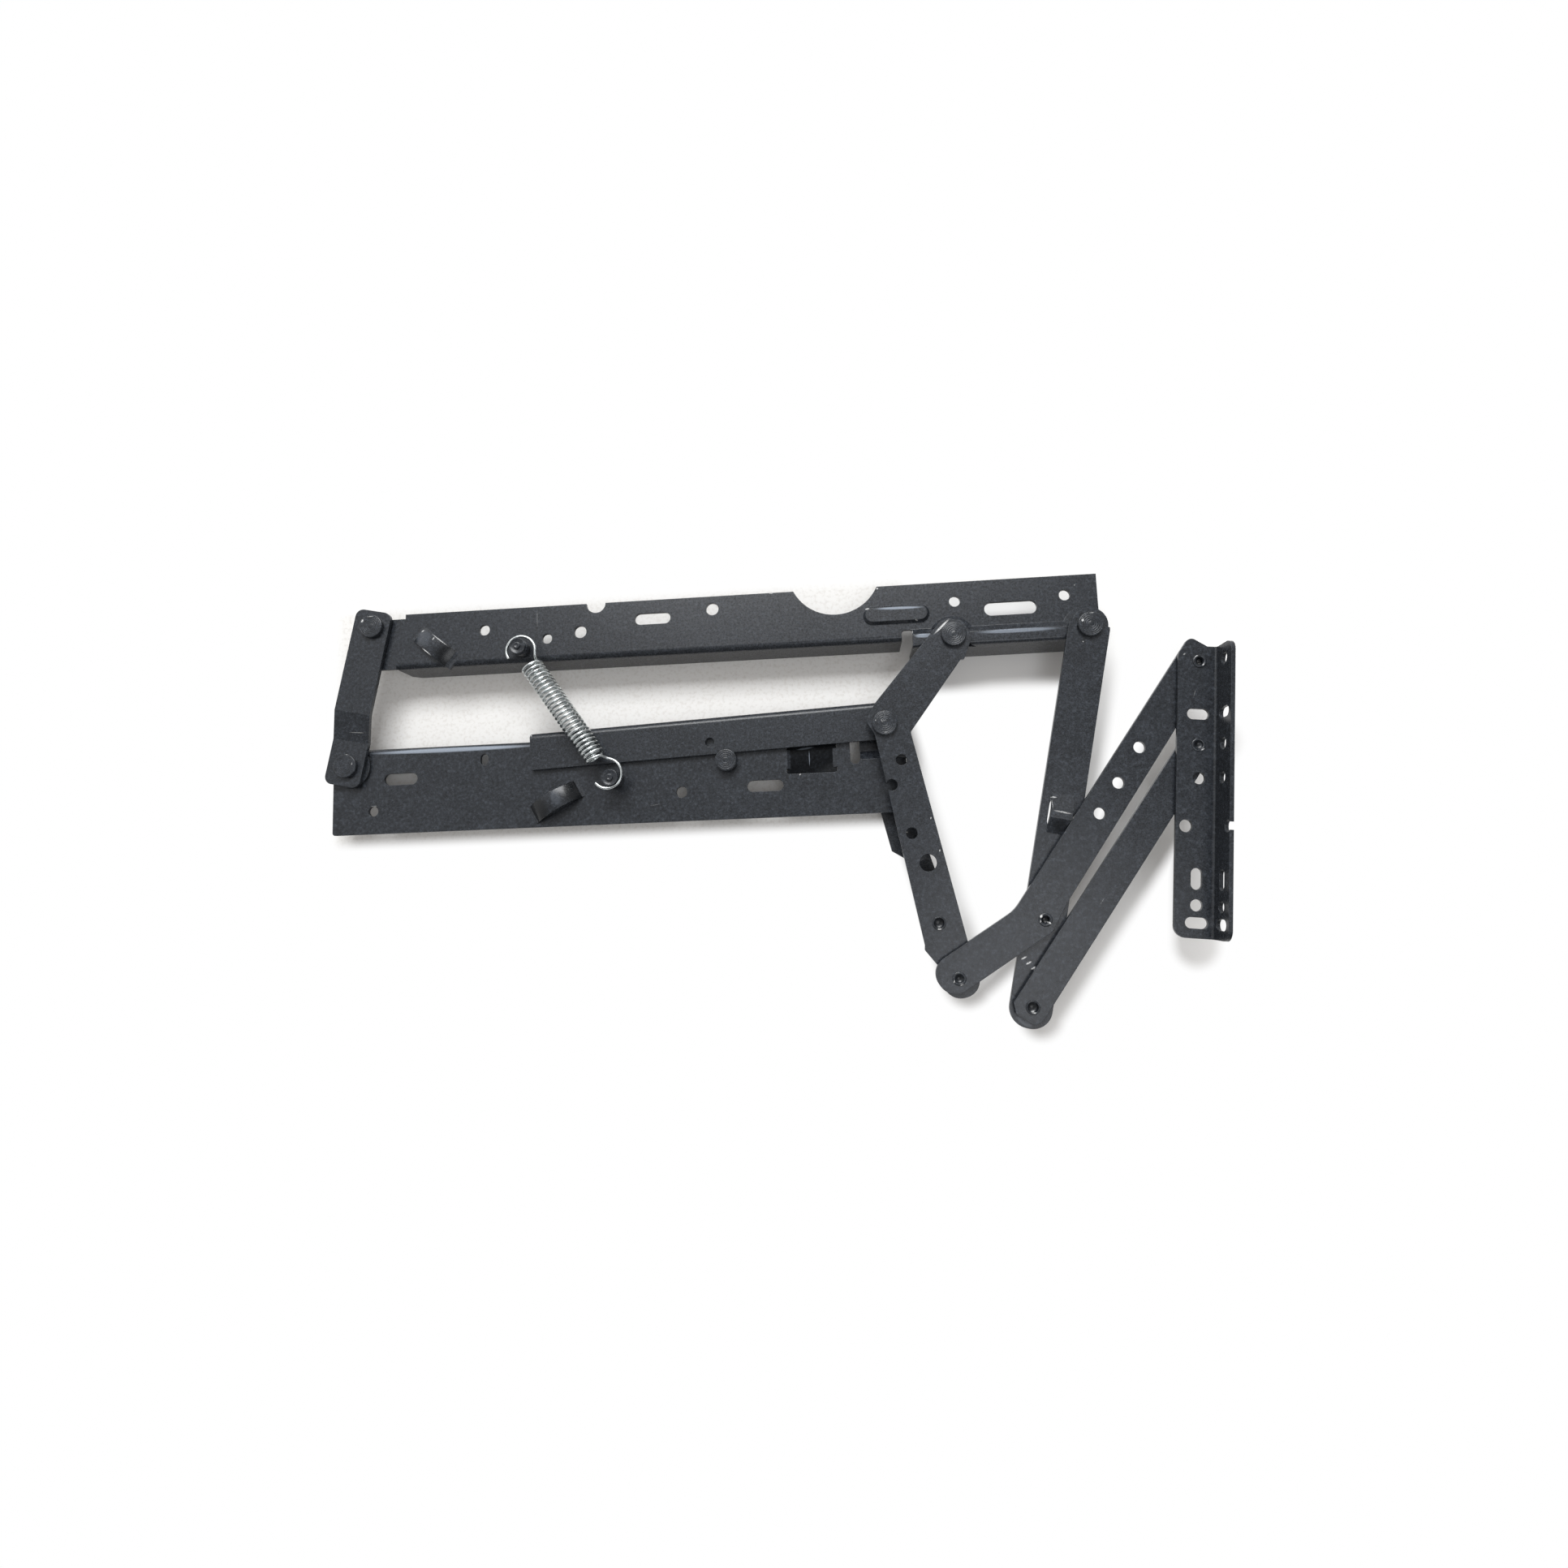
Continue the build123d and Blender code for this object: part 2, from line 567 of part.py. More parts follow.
# Bell-crank: short arm up to the seat rail, long arm down to the bent link
with BuildPart() as bell_crank:
    points, radii = split_corners([
        (spot(MAIN, CRANK_SEAT, -6.2, 11.1), 5),
        (spot(MAIN, CRANK_SEAT, 6.9, 13.4), 8),
        (spot(CRANK_SEAT, MAIN, -1.2, -12.5), 4),
        (spot(CRANK_SEAT, MAIN, -6.7, -9.6), 4),
        (spot(CRANK_SEAT, MAIN, -11.2, -1.6), 5),
        (spot(CRANK_SEAT, MAIN, -7.0, 10.2), 5),
        (spot(CRANK_SEAT, MAIN, 9.0, 15.5), 1.2),
        (spot(CRANK_SEAT, MAIN, 10.4, 13.7), 0.8),
        (spot(MAIN, CRANK_FOOT, 10.2, 14.8), 3),
        (spot(CRANK_FOOT, MAIN, 21.0, -12.2), 3),
        (spot(CRANK_FOOT, MAIN, -13.0, -13.2), 11),
        (spot(CRANK_FOOT, MAIN, -13.0, 10.6), 11),
        (spot(CRANK_FOOT, MAIN, 10.6, 10.3), 4),
        (spot(CRANK_FOOT, MAIN, 22.1, 15.6), 1.2),
        (spot(CRANK_FOOT, MAIN, 25.0, 14.7), 0.8),
        (spot(MAIN, CRANK_FOOT, 5.4, -8.2), 4),
    ])
    with BuildSketch(Plane.XY.offset(ARM_BACK)):
        with BuildLine():
            FilletPolyline(*points, radius=radii, close=True)
        make_face()
        with Locations(MAIN):
            Circle(MAIN_SHANK + FIT, mode=Mode.SUBTRACT)
        with Locations(CRANK_SEAT, CRANK_FOOT, spot(MAIN, CRANK_FOOT, *CHEEK_RIVET)):
            Circle(SHANK + FIT, mode=Mode.SUBTRACT)
        for place, radius in ARM_HOLES:
            with Locations(spot(MAIN, CRANK_FOOT, *place)):
                Circle(radius, mode=Mode.SUBTRACT)
    extrude(amount=STRAP_GAUGE)
finish(bell_crank.part, "bell_crank")

# Cheek: straddles the base rail behind and bends forward to the back of the long arm
with BuildPart() as bell_crank_cheek:
    with BuildSketch(strap_plane(MAIN, CRANK_FOOT).offset(-CHEEK_CENTRE)):
        with BuildLine():
            Polyline(
                *joggled_section(-STRAP_END, CHEEK_LENGTH, CHEEK_BEND, CHEEK_BEND_RUN, CHEEK_BACK,
                                 ARM_BACK - STRAP_GAUGE - CHEEK_BACK, STRAP_GAUGE),
                close=True,
            )
        make_face()
    extrude(amount=CHEEK_WIDTH / 2, both=True)
    cheek_side = CHEEK_CENTRE - CHEEK_WIDTH / 2
    neck_side = CHEEK_CENTRE - CHEEK_NECK
    with BuildSketch(flat_plane(MAIN, CRANK_FOOT, CHEEK_BACK)):
        with BuildLine():
            Polyline(
                (CHEEK_STEP, cheek_side),
                (CHEEK_STEP + neck_side - cheek_side, neck_side),
                (CHEEK_LENGTH + 1, neck_side),
                (CHEEK_LENGTH + 1, cheek_side - 1),
                (CHEEK_STEP, cheek_side - 1),
                close=True,
            )
        make_face()
    extrude(amount=ARM_BACK - CHEEK_BACK, mode=Mode.SUBTRACT)
    cheek_line = Axis((*MAIN, 0), flat_plane(MAIN, CRANK_FOOT, 0).x_dir)
    fillet(bell_crank_cheek.edges().filter_by(Axis.Z).group_by(cheek_line)[0], CHEEK_EYE_CORNER)
    fillet(bell_crank_cheek.edges().filter_by(Axis.Z).group_by(cheek_line)[-1], CHEEK_FOOT_CORNER)
    with BuildSketch(flat_plane(MAIN, CRANK_FOOT, CHEEK_BACK)):
        Circle(MAIN_SHANK + FIT)
        with Locations(CHEEK_RIVET):
            Circle(SHANK + FIT)
    extrude(amount=ARM_BACK - CHEEK_BACK, mode=Mode.SUBTRACT)
finish(bell_crank_cheek.part, "bell_crank_cheek")

# Support bar: an angle that swings on the main pivot and rests on the guide pin
bar_axis = (MAIN[0] + cos(radians(BAR_TILT)), MAIN[1] + sin(radians(BAR_TILT)))
with BuildPart() as support_bar:
    points, radii = split_corners(
        angle_section(BAR_BOTTOM, BAR_TOP, BAR_BACK, BAR_FACE, BAR_FACE - BAR_FLANGE_DEPTH)
    )
    bar_end = Plane(
        origin=(MAIN[0], MAIN[1], 0),
        x_dir=(-sin(radians(BAR_TILT)), cos(radians(BAR_TILT)), 0),
        z_dir=(cos(radians(BAR_TILT)), sin(radians(BAR_TILT)), 0),
    )
    with BuildSketch(bar_end.offset(-BAR_LENGTH)):
        with BuildLine():
            FilletPolyline(*points, radius=radii, close=True)
        make_face()
    extrude(amount=BAR_LENGTH + BAR_FLANGE_END)
    with BuildSketch(flat_plane(MAIN, bar_axis, BAR_BACK)):
        with BuildLine():
            FilletPolyline(
                (BAR_FLANGE_END - 1, BAR_BOTTOM),
                (BAR_NOSE, BAR_BOTTOM),
                (BAR_NOSE, BAR_TOP - RAIL_GAUGE - BEND_RADIUS),
                (BAR_FLANGE_END - 1, BAR_TOP - RAIL_GAUGE - BEND_RADIUS),
                radius=[0, BAR_CORNER, BAR_CORNER, 0],
                close=True,
            )
        make_face()
    extrude(amount=RAIL_GAUGE)
    with BuildSketch(flat_plane(MAIN, bar_axis, BAR_BACK)):
        Circle(MAIN_SHANK + FIT)
        with Locations(BAR_HOLE):
            Circle(BAR_HOLE_RADIUS)
    extrude(amount=RAIL_GAUGE, mode=Mode.SUBTRACT)
finish(support_bar.part, "support_bar")

# Front link: hangs from the seat rail's front end, with a bridge that stops the bent link
with BuildPart() as front_link:
    left, right = FRONT_LINK_SIDES
    points, radii = split_corners([
        (spot(FRONT_SEAT, FRONT_FOOT, -0.5, left), 1),
        (spot(FRONT_FOOT, FRONT_SEAT, -13.8, -left), 12.5),
        (spot(FRONT_FOOT, FRONT_SEAT, -13.8, -right), 12.5),
        (spot(FRONT_SEAT, FRONT_FOOT, -0.5, right), 1),
    ])
    with BuildSketch(Plane.XY.offset(ARM_BACK)):
        with BuildLine():
            FilletPolyline(*points, radius=radii, close=True)
        make_face()
        with Locations(FRONT_SEAT):
            Circle(FRONT_EYE)
        with Locations(FRONT_SEAT, LINK_CROSS, FRONT_FOOT):
            Circle(SHANK + FIT, mode=Mode.SUBTRACT)
    extrude(amount=STRAP_GAUGE)
    bridge_lance(spot(FRONT_SEAT, FRONT_FOOT, *FRONT_BRIDGE), heading(FRONT_SEAT, FRONT_FOOT), ARM_BACK,
                 STRAP_GAUGE, FRONT_BRIDGE_LENGTH, FRONT_BRIDGE_WIDTH, FRONT_BRIDGE_RISE, FRONT_BRIDGE_GAP)
    cross_length = dist(LINK_CROSS, BRACKET_TOP)
    low_side, high_side = BENT_LINK_SIDE
    with BuildSketch(Plane.XY.offset(LINK_BACK - STOP_GAP)):
        with BuildLine():
            Polyline(
                spot(LINK_CROSS, BRACKET_TOP, 0, low_side + STOP_GAP),
                spot(LINK_CROSS, BRACKET_TOP, cross_length, high_side + STOP_GAP),
                spot(LINK_CROSS, BRACKET_TOP, cross_length, 0),
                spot(LINK_CROSS, BRACKET_TOP, 0, 0),
                close=True,
            )
        make_face()
    extrude(amount=FRONT_BRIDGE_RISE, mode=Mode.SUBTRACT)
finish(front_link.part, "front_link")

# Bent link: from the bell-crank's foot past the front link to the bracket's top pivot
with BuildPart() as bent_link:
    points, radii = split_corners([
        (spot(CRANK_FOOT, LINK_CROSS, -12.5, 15.8), 11.5),
        (spot(LINK_CROSS, BRACKET_TOP, -4.9, BENT_LINK_SIDE[0]), 25),
        (spot(BRACKET_TOP, LINK_CROSS, -12.5, -BENT_LINK_SIDE[1]), 4),
        (spot(BRACKET_TOP, LINK_CROSS, -12.5, 10.5), 11),
        (spot(LINK_CROSS, BRACKET_TOP, 17.0, -6.2), 3),
        (spot(LINK_CROSS, BRACKET_TOP, -4.1, -7.5), 6),
        (spot(CRANK_FOOT, LINK_CROSS, -12.5, -8.6), 11.5),
    ])
    with BuildSketch(Plane.XY.offset(LINK_BACK)):
        with BuildLine():
            FilletPolyline(*points, radius=radii, close=True)
        make_face()
        with Locations(CRANK_FOOT, LINK_CROSS, BRACKET_TOP):
            Circle(SHANK + FIT, mode=Mode.SUBTRACT)
        for place in BENT_LINK_HOLES:
            with Locations(spot(LINK_CROSS, BRACKET_TOP, *place)):
                Circle(BENT_LINK_HOLE, mode=Mode.SUBTRACT)
    extrude(amount=STRAP_GAUGE)
finish(bent_link.part, "bent_link")

# Straight link: from the front link's foot to the bracket's low pivot
with BuildPart() as straight_link:
    points, radii = split_corners([
        (spot(FRONT_FOOT, BRACKET_LOW, -3.9, 11.4), 2),
        (spot(BRACKET_LOW, FRONT_FOOT, -10.5, -9.4), 9),
        (spot(BRACKET_LOW, FRONT_FOOT, -10.5, 11.2), 9),
        (spot(FRONT_FOOT, BRACKET_LOW, -10.6, -9.6), 8),
        (spot(FRONT_FOOT, BRACKET_LOW, -9.2, 6.4), 2),
    ])
    with BuildSketch(Plane.XY.offset(LINK_BACK)):
        with BuildLine():
            FilletPolyline(*points, radius=radii, close=True)
        make_face()
        with Locations(FRONT_FOOT, BRACKET_LOW):
            Circle(SHANK + FIT, mode=Mode.SUBTRACT)
    extrude(amount=STRAP_GAUGE)
finish(straight_link.part, "straight_link")

# Footrest bracket: an angle with the same row of holes and slots in both legs
with BuildPart() as footrest_bracket:
    web_plane = flat_plane(BRACKET_TOP, BRACKET_LOW, BRACKET_BACK)
    end_plane = Plane(origin=web_plane.origin, x_dir=web_plane.y_dir, z_dir=web_plane.x_dir)
    leg_end = BRACKET_DEPTH - RAIL_GAUGE
    with BuildSketch(end_plane.offset(BRACKET_ENDS[0])):
        with BuildLine():
            FilletPolyline(
                (BRACKET_REAR, 0),
                (BRACKET_FRONT, 0),
                (BRACKET_FRONT, BRACKET_DEPTH),
                (BRACKET_FRONT - RAIL_GAUGE, BRACKET_DEPTH),
                (BRACKET_FRONT - RAIL_GAUGE, RAIL_GAUGE),
                (BRACKET_REAR, RAIL_GAUGE),
                radius=[0, BEND_RADIUS + RAIL_GAUGE, 0, 0, BEND_RADIUS, 0],
                close=True,
            )
        make_face()
    extrude(amount=BRACKET_ENDS[1] - BRACKET_ENDS[0])
    across = Axis(web_plane.origin, web_plane.y_dir)
    fillet(footrest_bracket.edges().filter_by(Axis.Z).group_by(across)[0], BRACKET_CORNER)
    fillet(footrest_bracket.edges().filter_by(across).group_by(Axis.Z)[-1], BRACKET_CORNER)
    with BuildSketch(web_plane):
        for place, radius in BRACKET_HOLES:
            with Locations(place):
                Circle(radius)
        for place, length, width in BRACKET_CROSS_SLOTS:
            with Locations(place):
                SlotOverall(length, width, rotation=90)
        with Locations(BRACKET_LONG_SLOT[0]):
            SlotOverall(*BRACKET_LONG_SLOT[1:])
        with Locations((0, 0), (dist(BRACKET_TOP, BRACKET_LOW), 0)):
            Circle(SHANK + FIT)
    extrude(amount=RAIL_GAUGE, mode=Mode.SUBTRACT)
    web_half = (BRACKET_FRONT - BRACKET_REAR) / 2
    flange_origin = web_plane.origin + web_plane.y_dir * BRACKET_FRONT + web_plane.z_dir * web_half
    flange_plane = Plane(origin=flange_origin, x_dir=web_plane.x_dir, z_dir=-web_plane.y_dir)
    with BuildSketch(flange_plane):
        for (along, across), radius in BRACKET_HOLES:
            with Locations((along, -across)):
                Circle(radius)
        for (along, across), length, width in BRACKET_CROSS_SLOTS:
            with Locations((along, -across)):
                SlotOverall(length, width, rotation=90)
        with Locations(BRACKET_LONG_SLOT[0]):
            SlotOverall(*BRACKET_LONG_SLOT[1:])
        with Locations((0, 0), (dist(BRACKET_TOP, BRACKET_LOW), 0)):
            Circle(SHANK)
    extrude(amount=RAIL_GAUGE, mode=Mode.SUBTRACT)
finish(footrest_bracket.part, "footrest_bracket")

# Washers, spacers and bushes on the pivots
shank_bore = SHANK + FIT
main_bore = MAIN_SHANK + FIT
washer("rear_base_washer", REAR_BASE, BASE_FACE, REAR_WASHER, REAR_WASHER_RADIUS, shank_bore)
for label, centre, back in (
    ("rear_seat_washer", REAR_SEAT, SEAT_FACE),
    ("crank_seat_washer", CRANK_SEAT, STRIP_FACE),
    ("front_seat_washer", FRONT_SEAT, STRIP_FACE),
    ("crank_foot_washer", CRANK_FOOT, ARM_FACE),
    ("cross_washer", LINK_CROSS, ARM_FACE),
    ("front_foot_washer", FRONT_FOOT, ARM_FACE),
    ("bracket_top_washer", BRACKET_TOP, LINK_FACE),
    ("bracket_low_washer", BRACKET_LOW, LINK_FACE),
):
    washer(label, centre, back, THIN_WASHER, THIN_WASHER_RADIUS, shank_bore)
washer("main_back_washer", MAIN, CHEEK_FACE + PLAY, THIN_WASHER - PLAY, SPACER_RADIUS, main_bore)
washer("main_spacer", MAIN, LUG_FACE, BAR_BACK - LUG_FACE - PLAY, SPACER_RADIUS, main_bore)
washer("main_bush", MAIN, BAR_FACE + PLAY, ARM_BACK - BAR_FACE - 2 * PLAY, BUSH_RADIUS, main_bore)

# Rivets with two wide heads
headed_rivet("rear_base_rivet", REAR_BASE, SHANK, 0, REAR_LINK_BACK + STRAP_GAUGE + PLAY)
headed_rivet("crank_seat_rivet", CRANK_SEAT, SHANK, STRIP_BACK, ARM_FACE + PLAY)
headed_rivet("front_seat_rivet", FRONT_SEAT, SHANK, STRIP_BACK, ARM_FACE + PLAY)
headed_rivet("main_pivot_rivet", MAIN, MAIN_SHANK, CHEEK_BACK - PLAY, ARM_FACE + PLAY)

# Tubular rivets
tubular_rivet("cross_rivet", LINK_CROSS, ARM_BACK, LINK_FACE + PLAY)
tubular_rivet("front_foot_rivet", FRONT_FOOT, ARM_BACK, LINK_FACE + PLAY)
tubular_rivet("bracket_top_rivet", BRACKET_TOP, LINK_BACK, BRACKET_FACE + PLAY)
tubular_rivet("cheek_rivet", spot(MAIN, CRANK_FOOT, *CHEEK_RIVET), ARM_BACK - STRAP_GAUGE, ARM_FACE)

# Rivets in two halves that meet between the straps, one half with each strap
turned("rear_seat_rivet_back", REAR_SEAT,
       [(SHANK, SEAT_BACK), (SHANK, SEAT_FACE + THIN_WASHER), (0, SEAT_FACE + THIN_WASHER)]
       + head_profile(SEAT_BACK, BACK_HEAD, -BACK_HEAD_HEIGHT)[::-1])
turned("rear_seat_rivet_front", REAR_SEAT,
       [(0, REAR_LINK_TOP), (SHANK, REAR_LINK_TOP), (SHANK, REAR_LINK_TOP + STRAP_GAUGE)]
       + head_profile(REAR_LINK_TOP + STRAP_GAUGE, HEAD, HEAD_HEIGHT))
for label, centre, back, split, face in (
    ("crank_foot_rivet", CRANK_FOOT, ARM_BACK, ARM_FACE + THIN_WASHER, LINK_FACE),
    ("bracket_low_rivet", BRACKET_LOW, LINK_BACK, LINK_FACE + THIN_WASHER, BRACKET_FACE),
):
    turned(label + "_back", centre,
           [(SHANK, back), (SHANK, split), (0, split)] + head_profile(back, BACK_HEAD, -BACK_HEAD_HEIGHT)[::-1])
    turned(label + "_front", centre,
           [(0, split + PLAY), (SHANK, split + PLAY), (SHANK, face), (ROLL, face), (ROLL, face + ROLL_HEIGHT / 2),
            ((ROLL + ROLL_BORE) / 2, face + ROLL_HEIGHT), (ROLL_BORE, face + ROLL_HEIGHT / 2),
            (ROLL_BORE, split + PLAY + 1.2), (0, split + PLAY + 0.8)])

# Guide pin under the support bar, with a head that keeps the bar in
guide_centre = spot(MAIN, bar_axis, GUIDE_PIN_AT, BAR_BOTTOM - GUIDE_PIN - PLAY)
turned("guide_pin", guide_centre,
       [(SHANK, 0), (SHANK, BASE_FACE), (GUIDE_PIN, BASE_FACE), (GUIDE_PIN, BAR_FACE + 2 * PLAY)]
       + head_profile(BAR_FACE + 2 * PLAY, GUIDE_HEAD, HEAD_HEIGHT)
       + head_profile(0, BACK_HEAD, -STUD_BACK_HEIGHT)[::-1])

# Spring studs, and the sleeve that turns on the lower one
wire_bottom = SPRING_LEVEL - WIRE
neck_bottom = wire_bottom - 3 * PLAY
lip_bottom = SPRING_LEVEL + WIRE + 3 * PLAY
lip_top = lip_bottom + STUD_LIP_HEIGHT
stud_end = [(STUD_NECK, neck_bottom), (STUD_NECK, lip_bottom), (STUD_LIP, lip_bottom), (STUD_LIP, lip_top)]
stud_end += head_profile(lip_top, STUD_BOSS, STUD_BOSS_HEIGHT)
turned("lower_spring_stud", STUD_LOW,
       [(STUD, 0), (STUD, neck_bottom)] + stud_end
       + head_profile(0, STUD_BACK_HEAD, -STUD_BACK_HEIGHT)[::-1])
turned("upper_spring_stud", STUD_HIGH,
       [(STUD, SEAT_BACK), (STUD, SEAT_FACE), (SLEEVE, SEAT_FACE), (SLEEVE, neck_bottom)] + stud_end
       + head_profile(SEAT_BACK, STUD_BACK_HEAD, -STUD_BACK_HEIGHT)[::-1])
washer("spring_sleeve", STUD_LOW, BASE_FACE + PLAY, neck_bottom - BASE_FACE - 2 * PLAY, SLEEVE, STUD + FIT)

# Return spring: one wire from hook to hook, in half turns of two arcs each
spring_length = dist(STUD_LOW, STUD_HIGH)
hook_centre = HOOK - WIRE - STUD_NECK - HOOK_GAP
coil_length = spring_length - 2 * COIL_START
half_turns = 2 * COIL_TURNS + 1


def spring_point(along, right, up):
    """Point in the spring's own frame: along it from the lower stud, to its right, above its axis"""
    x, y = spot(STUD_LOW, STUD_HIGH, along, -right)
    return Vector(x, y, SPRING_LEVEL + up)


def spring_direction(along, right, up):
    """Unit vector in the spring's own frame"""
    return (spring_point(along, right, up) - spring_point(0, 0, 0)).normalized()


def hook_state(angle, upper):
    """Place and travel direction on a hook, by angle from the line to the coil"""
    turn = radians(angle)
    along = hook_centre + HOOK * cos(turn)
    right = HOOK * sin(turn)
    if upper:
        place = spring_point(spring_length - along, right, 0)
        return place, spring_direction(sin(turn), cos(turn), 0)
    return spring_point(along, right, 0), spring_direction(sin(turn), -cos(turn), 0)


def coil_state(half_turn):
    """Place and travel direction on the coil after so many half turns, starting on top"""
    turn = pi * half_turn
    along = COIL_START + coil_length * half_turn / half_turns
    place = spring_point(along, -COIL * sin(turn), COIL * cos(turn))
    rate = coil_length / half_turns / pi
    return place, spring_direction(rate, -COIL * cos(turn), -COIL * sin(turn))


def biarc(first, last):
    """Middle point and its direction, for two arcs that join two places smoothly"""
    (p0, t0), (p1, t1) = first, last
    v = p1 - p0
    t = t0 + t1
    spread = 2 * (1 - t0.dot(t1))
    if spread < 1e-9:
        reach = v.dot(v) / (4 * v.dot(t1))
    else:
        reach = (-v.dot(t) + sqrt(v.dot(t) ** 2 + spread * v.dot(v))) / spread
    start = p0 + t0 * reach
    end = p1 - t1 * reach
    return (start + end) * 0.5, (end - start).normalized()


hook_middle = (HOOK_START + HOOK_END) / 2
states = [hook_state(angle, False) for angle in (HOOK_END, hook_middle, HOOK_START)]
states += [coil_state(half_turn) for half_turn in range(half_turns + 1)]
states += [hook_state(angle, True) for angle in (HOOK_START, hook_middle, HOOK_END)]
with BuildPart() as return_spring:
    with BuildLine() as wire_line:
        for first, last in zip(states, states[1:]):
            middle, direction = biarc(first, last)
            TangentArc(first[0], middle, tangent=first[1])
            TangentArc(middle, last[0], tangent=direction)
    wire_start = Plane(origin=states[0][0], z_dir=states[0][1])
    with BuildSketch(wire_start):
        RegularPolygon(WIRE, WIRE_SIDES)
    sweep(path=wire_line.wires()[0])
finish(return_spring.part, "return_spring")

samples = [edge @ (step / 8) for edge in wire_line.edges() for step in range(8)]
reach = 14
least = min(
    (a - b).length
    for i, a in enumerate(samples)
    for b in samples[i + reach:i + 60]
)
print("spring: least gap between turns", round(least - 2 * WIRE, 2))
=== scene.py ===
"""Recliner mechanism in satin black, laid flat on a pale floor: finishes, worn details, spring and stage."""

import json
from math import cos, hypot, pi, radians, sin

import bpy
from bpy.props import FloatProperty, FloatVectorProperty, IntProperty, PointerProperty
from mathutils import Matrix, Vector

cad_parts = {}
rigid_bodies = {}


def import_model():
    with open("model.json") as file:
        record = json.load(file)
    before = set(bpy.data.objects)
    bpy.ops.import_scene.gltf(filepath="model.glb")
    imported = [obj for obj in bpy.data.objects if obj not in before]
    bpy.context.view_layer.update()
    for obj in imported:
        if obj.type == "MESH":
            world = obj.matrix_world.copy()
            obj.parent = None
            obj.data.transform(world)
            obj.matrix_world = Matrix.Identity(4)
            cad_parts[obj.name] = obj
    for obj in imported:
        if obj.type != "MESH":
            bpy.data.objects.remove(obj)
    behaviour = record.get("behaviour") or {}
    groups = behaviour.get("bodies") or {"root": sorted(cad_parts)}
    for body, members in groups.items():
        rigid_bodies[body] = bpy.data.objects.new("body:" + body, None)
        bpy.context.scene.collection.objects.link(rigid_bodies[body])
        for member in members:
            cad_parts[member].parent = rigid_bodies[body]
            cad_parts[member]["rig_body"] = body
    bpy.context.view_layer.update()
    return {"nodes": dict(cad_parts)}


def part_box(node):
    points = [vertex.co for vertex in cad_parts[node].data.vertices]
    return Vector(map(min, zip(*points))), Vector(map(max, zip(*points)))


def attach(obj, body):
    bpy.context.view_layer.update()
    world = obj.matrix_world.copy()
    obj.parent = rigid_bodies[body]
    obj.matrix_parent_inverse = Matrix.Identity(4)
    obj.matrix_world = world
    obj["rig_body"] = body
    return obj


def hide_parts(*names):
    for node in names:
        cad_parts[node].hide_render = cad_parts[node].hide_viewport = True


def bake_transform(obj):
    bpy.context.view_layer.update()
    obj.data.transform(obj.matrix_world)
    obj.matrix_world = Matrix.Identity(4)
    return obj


bl_info = {
    "name": "Recliner mechanism",
    "version": (1, 0, 0),
    "blender": (4, 5, 0),
    "location": "View3D > Sidebar > Recliner",
    "description": "Finishes and details for a recliner mechanism",
    "category": "Object",
}

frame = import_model()
NODES = frame["nodes"]

MM = 0.001

# Rolled rivet ends, in whose bores shade is painted dark: X and Y in mm
BORE_PLACES = ((397.0, -124.5), (453.0, -89.5), (441.5, -143.5), (560.5, 71.0), (555.0, 17.0))
BORE_SIZE = 4.6

# Return spring in metres: its studs, the level of its axis, and how far a hook's centre stands from its stud
STUD_LOW = (0.1733, 0.0142)
STUD_HIGH = (0.1102, 0.1083)
SPRING_LEVEL = 0.018
HOOK_CENTRE = 0.0037
# From the lower hook's end up to the coil: along the axis, aside and up
HOOK_NECK = ((0.0124, 0.0058, 0.0003), (0.0142, 0.0047, 0.0022), (0.0158, 0.0041, 0.0053))
POINTS_A_TURN = 24

# Camera over the part, in metres and degrees. It fits the photo's perspective
CAMERA = (0.3272, -0.0576, 0.57743)
CAMERA_TURN = (6.197, 4.008, -2.142)
SENSOR_WIDTH = 36.0
FOCAL_PIXELS = 1050.0
FRAME_PIXELS = 1932.0

# Floor, and the areas round the part in which it shows its own colour instead of the white background
FLOOR_LEVEL = -0.0185
FLOOR_SIZE = 12.0
RAIL_AREA = ((-0.036, -0.017), (0.372, 0.147))
STRIP_AREA = ((0.37, 0.075), (0.505, 0.147))
STRAP_AREAS = (
    ((0.360, 0.045), (0.402, -0.127), 0.011),
    ((0.505, 0.105), (0.447, -0.15), 0.009),
    ((0.402, -0.13), (0.49, -0.055), 0.008),
    ((0.49, -0.055), (0.578, 0.078), 0.008),
    ((0.447, -0.15), (0.572, 0.02), 0.008),
    ((0.563, 0.075), (0.545, -0.108), 0.010),
)
# The camera sees a point of the upper straps this much further out on the floor
STRAP_SHIFT = 1.07
# The floor's own colour turns plain, and then gives way to white, over these distances from the areas
PLAIN_EDGE = (-0.001, 0.012)
WHITE_EDGE = (-0.001, 0.010)
PAPER = (0.835, 0.83, 0.815)
SPECKS = (0.56, 0.53, 0.49)
PLAIN_PAPER = (0.90, 0.90, 0.895)

# Light from all round: colour and strength
FILL_LIGHT = ((1.0, 0.96, 0.92), 0.46)
BACKDROP = ((1.0, 1.0, 1.0), 1.0)
FAR_SIDE = ((0.93, 0.96, 1.0), 0.2)
# Metal sees the far side where a ray's direction along LAMP_SIDE is low, and the backdrop where it is high
LAMP_SIDE = (-0.5, 0.86, 0.0)
LAMP_SIDE_EDGE = (-0.35, 0.75)
# Name, place, target, size, power in watts and colour
LAMPS = (
    ("key", (0.2, 1.3, 1.55), (0.3, 0.0, 0.0), (1.3, 0.75), 37.0, (0.98, 0.99, 1.0)),
    ("ceiling", (0.72, -0.36, 1.6), (0.45, -0.1, 0.0), (0.8, 0.6), 4.0, (0.95, 0.97, 1.0)),
)
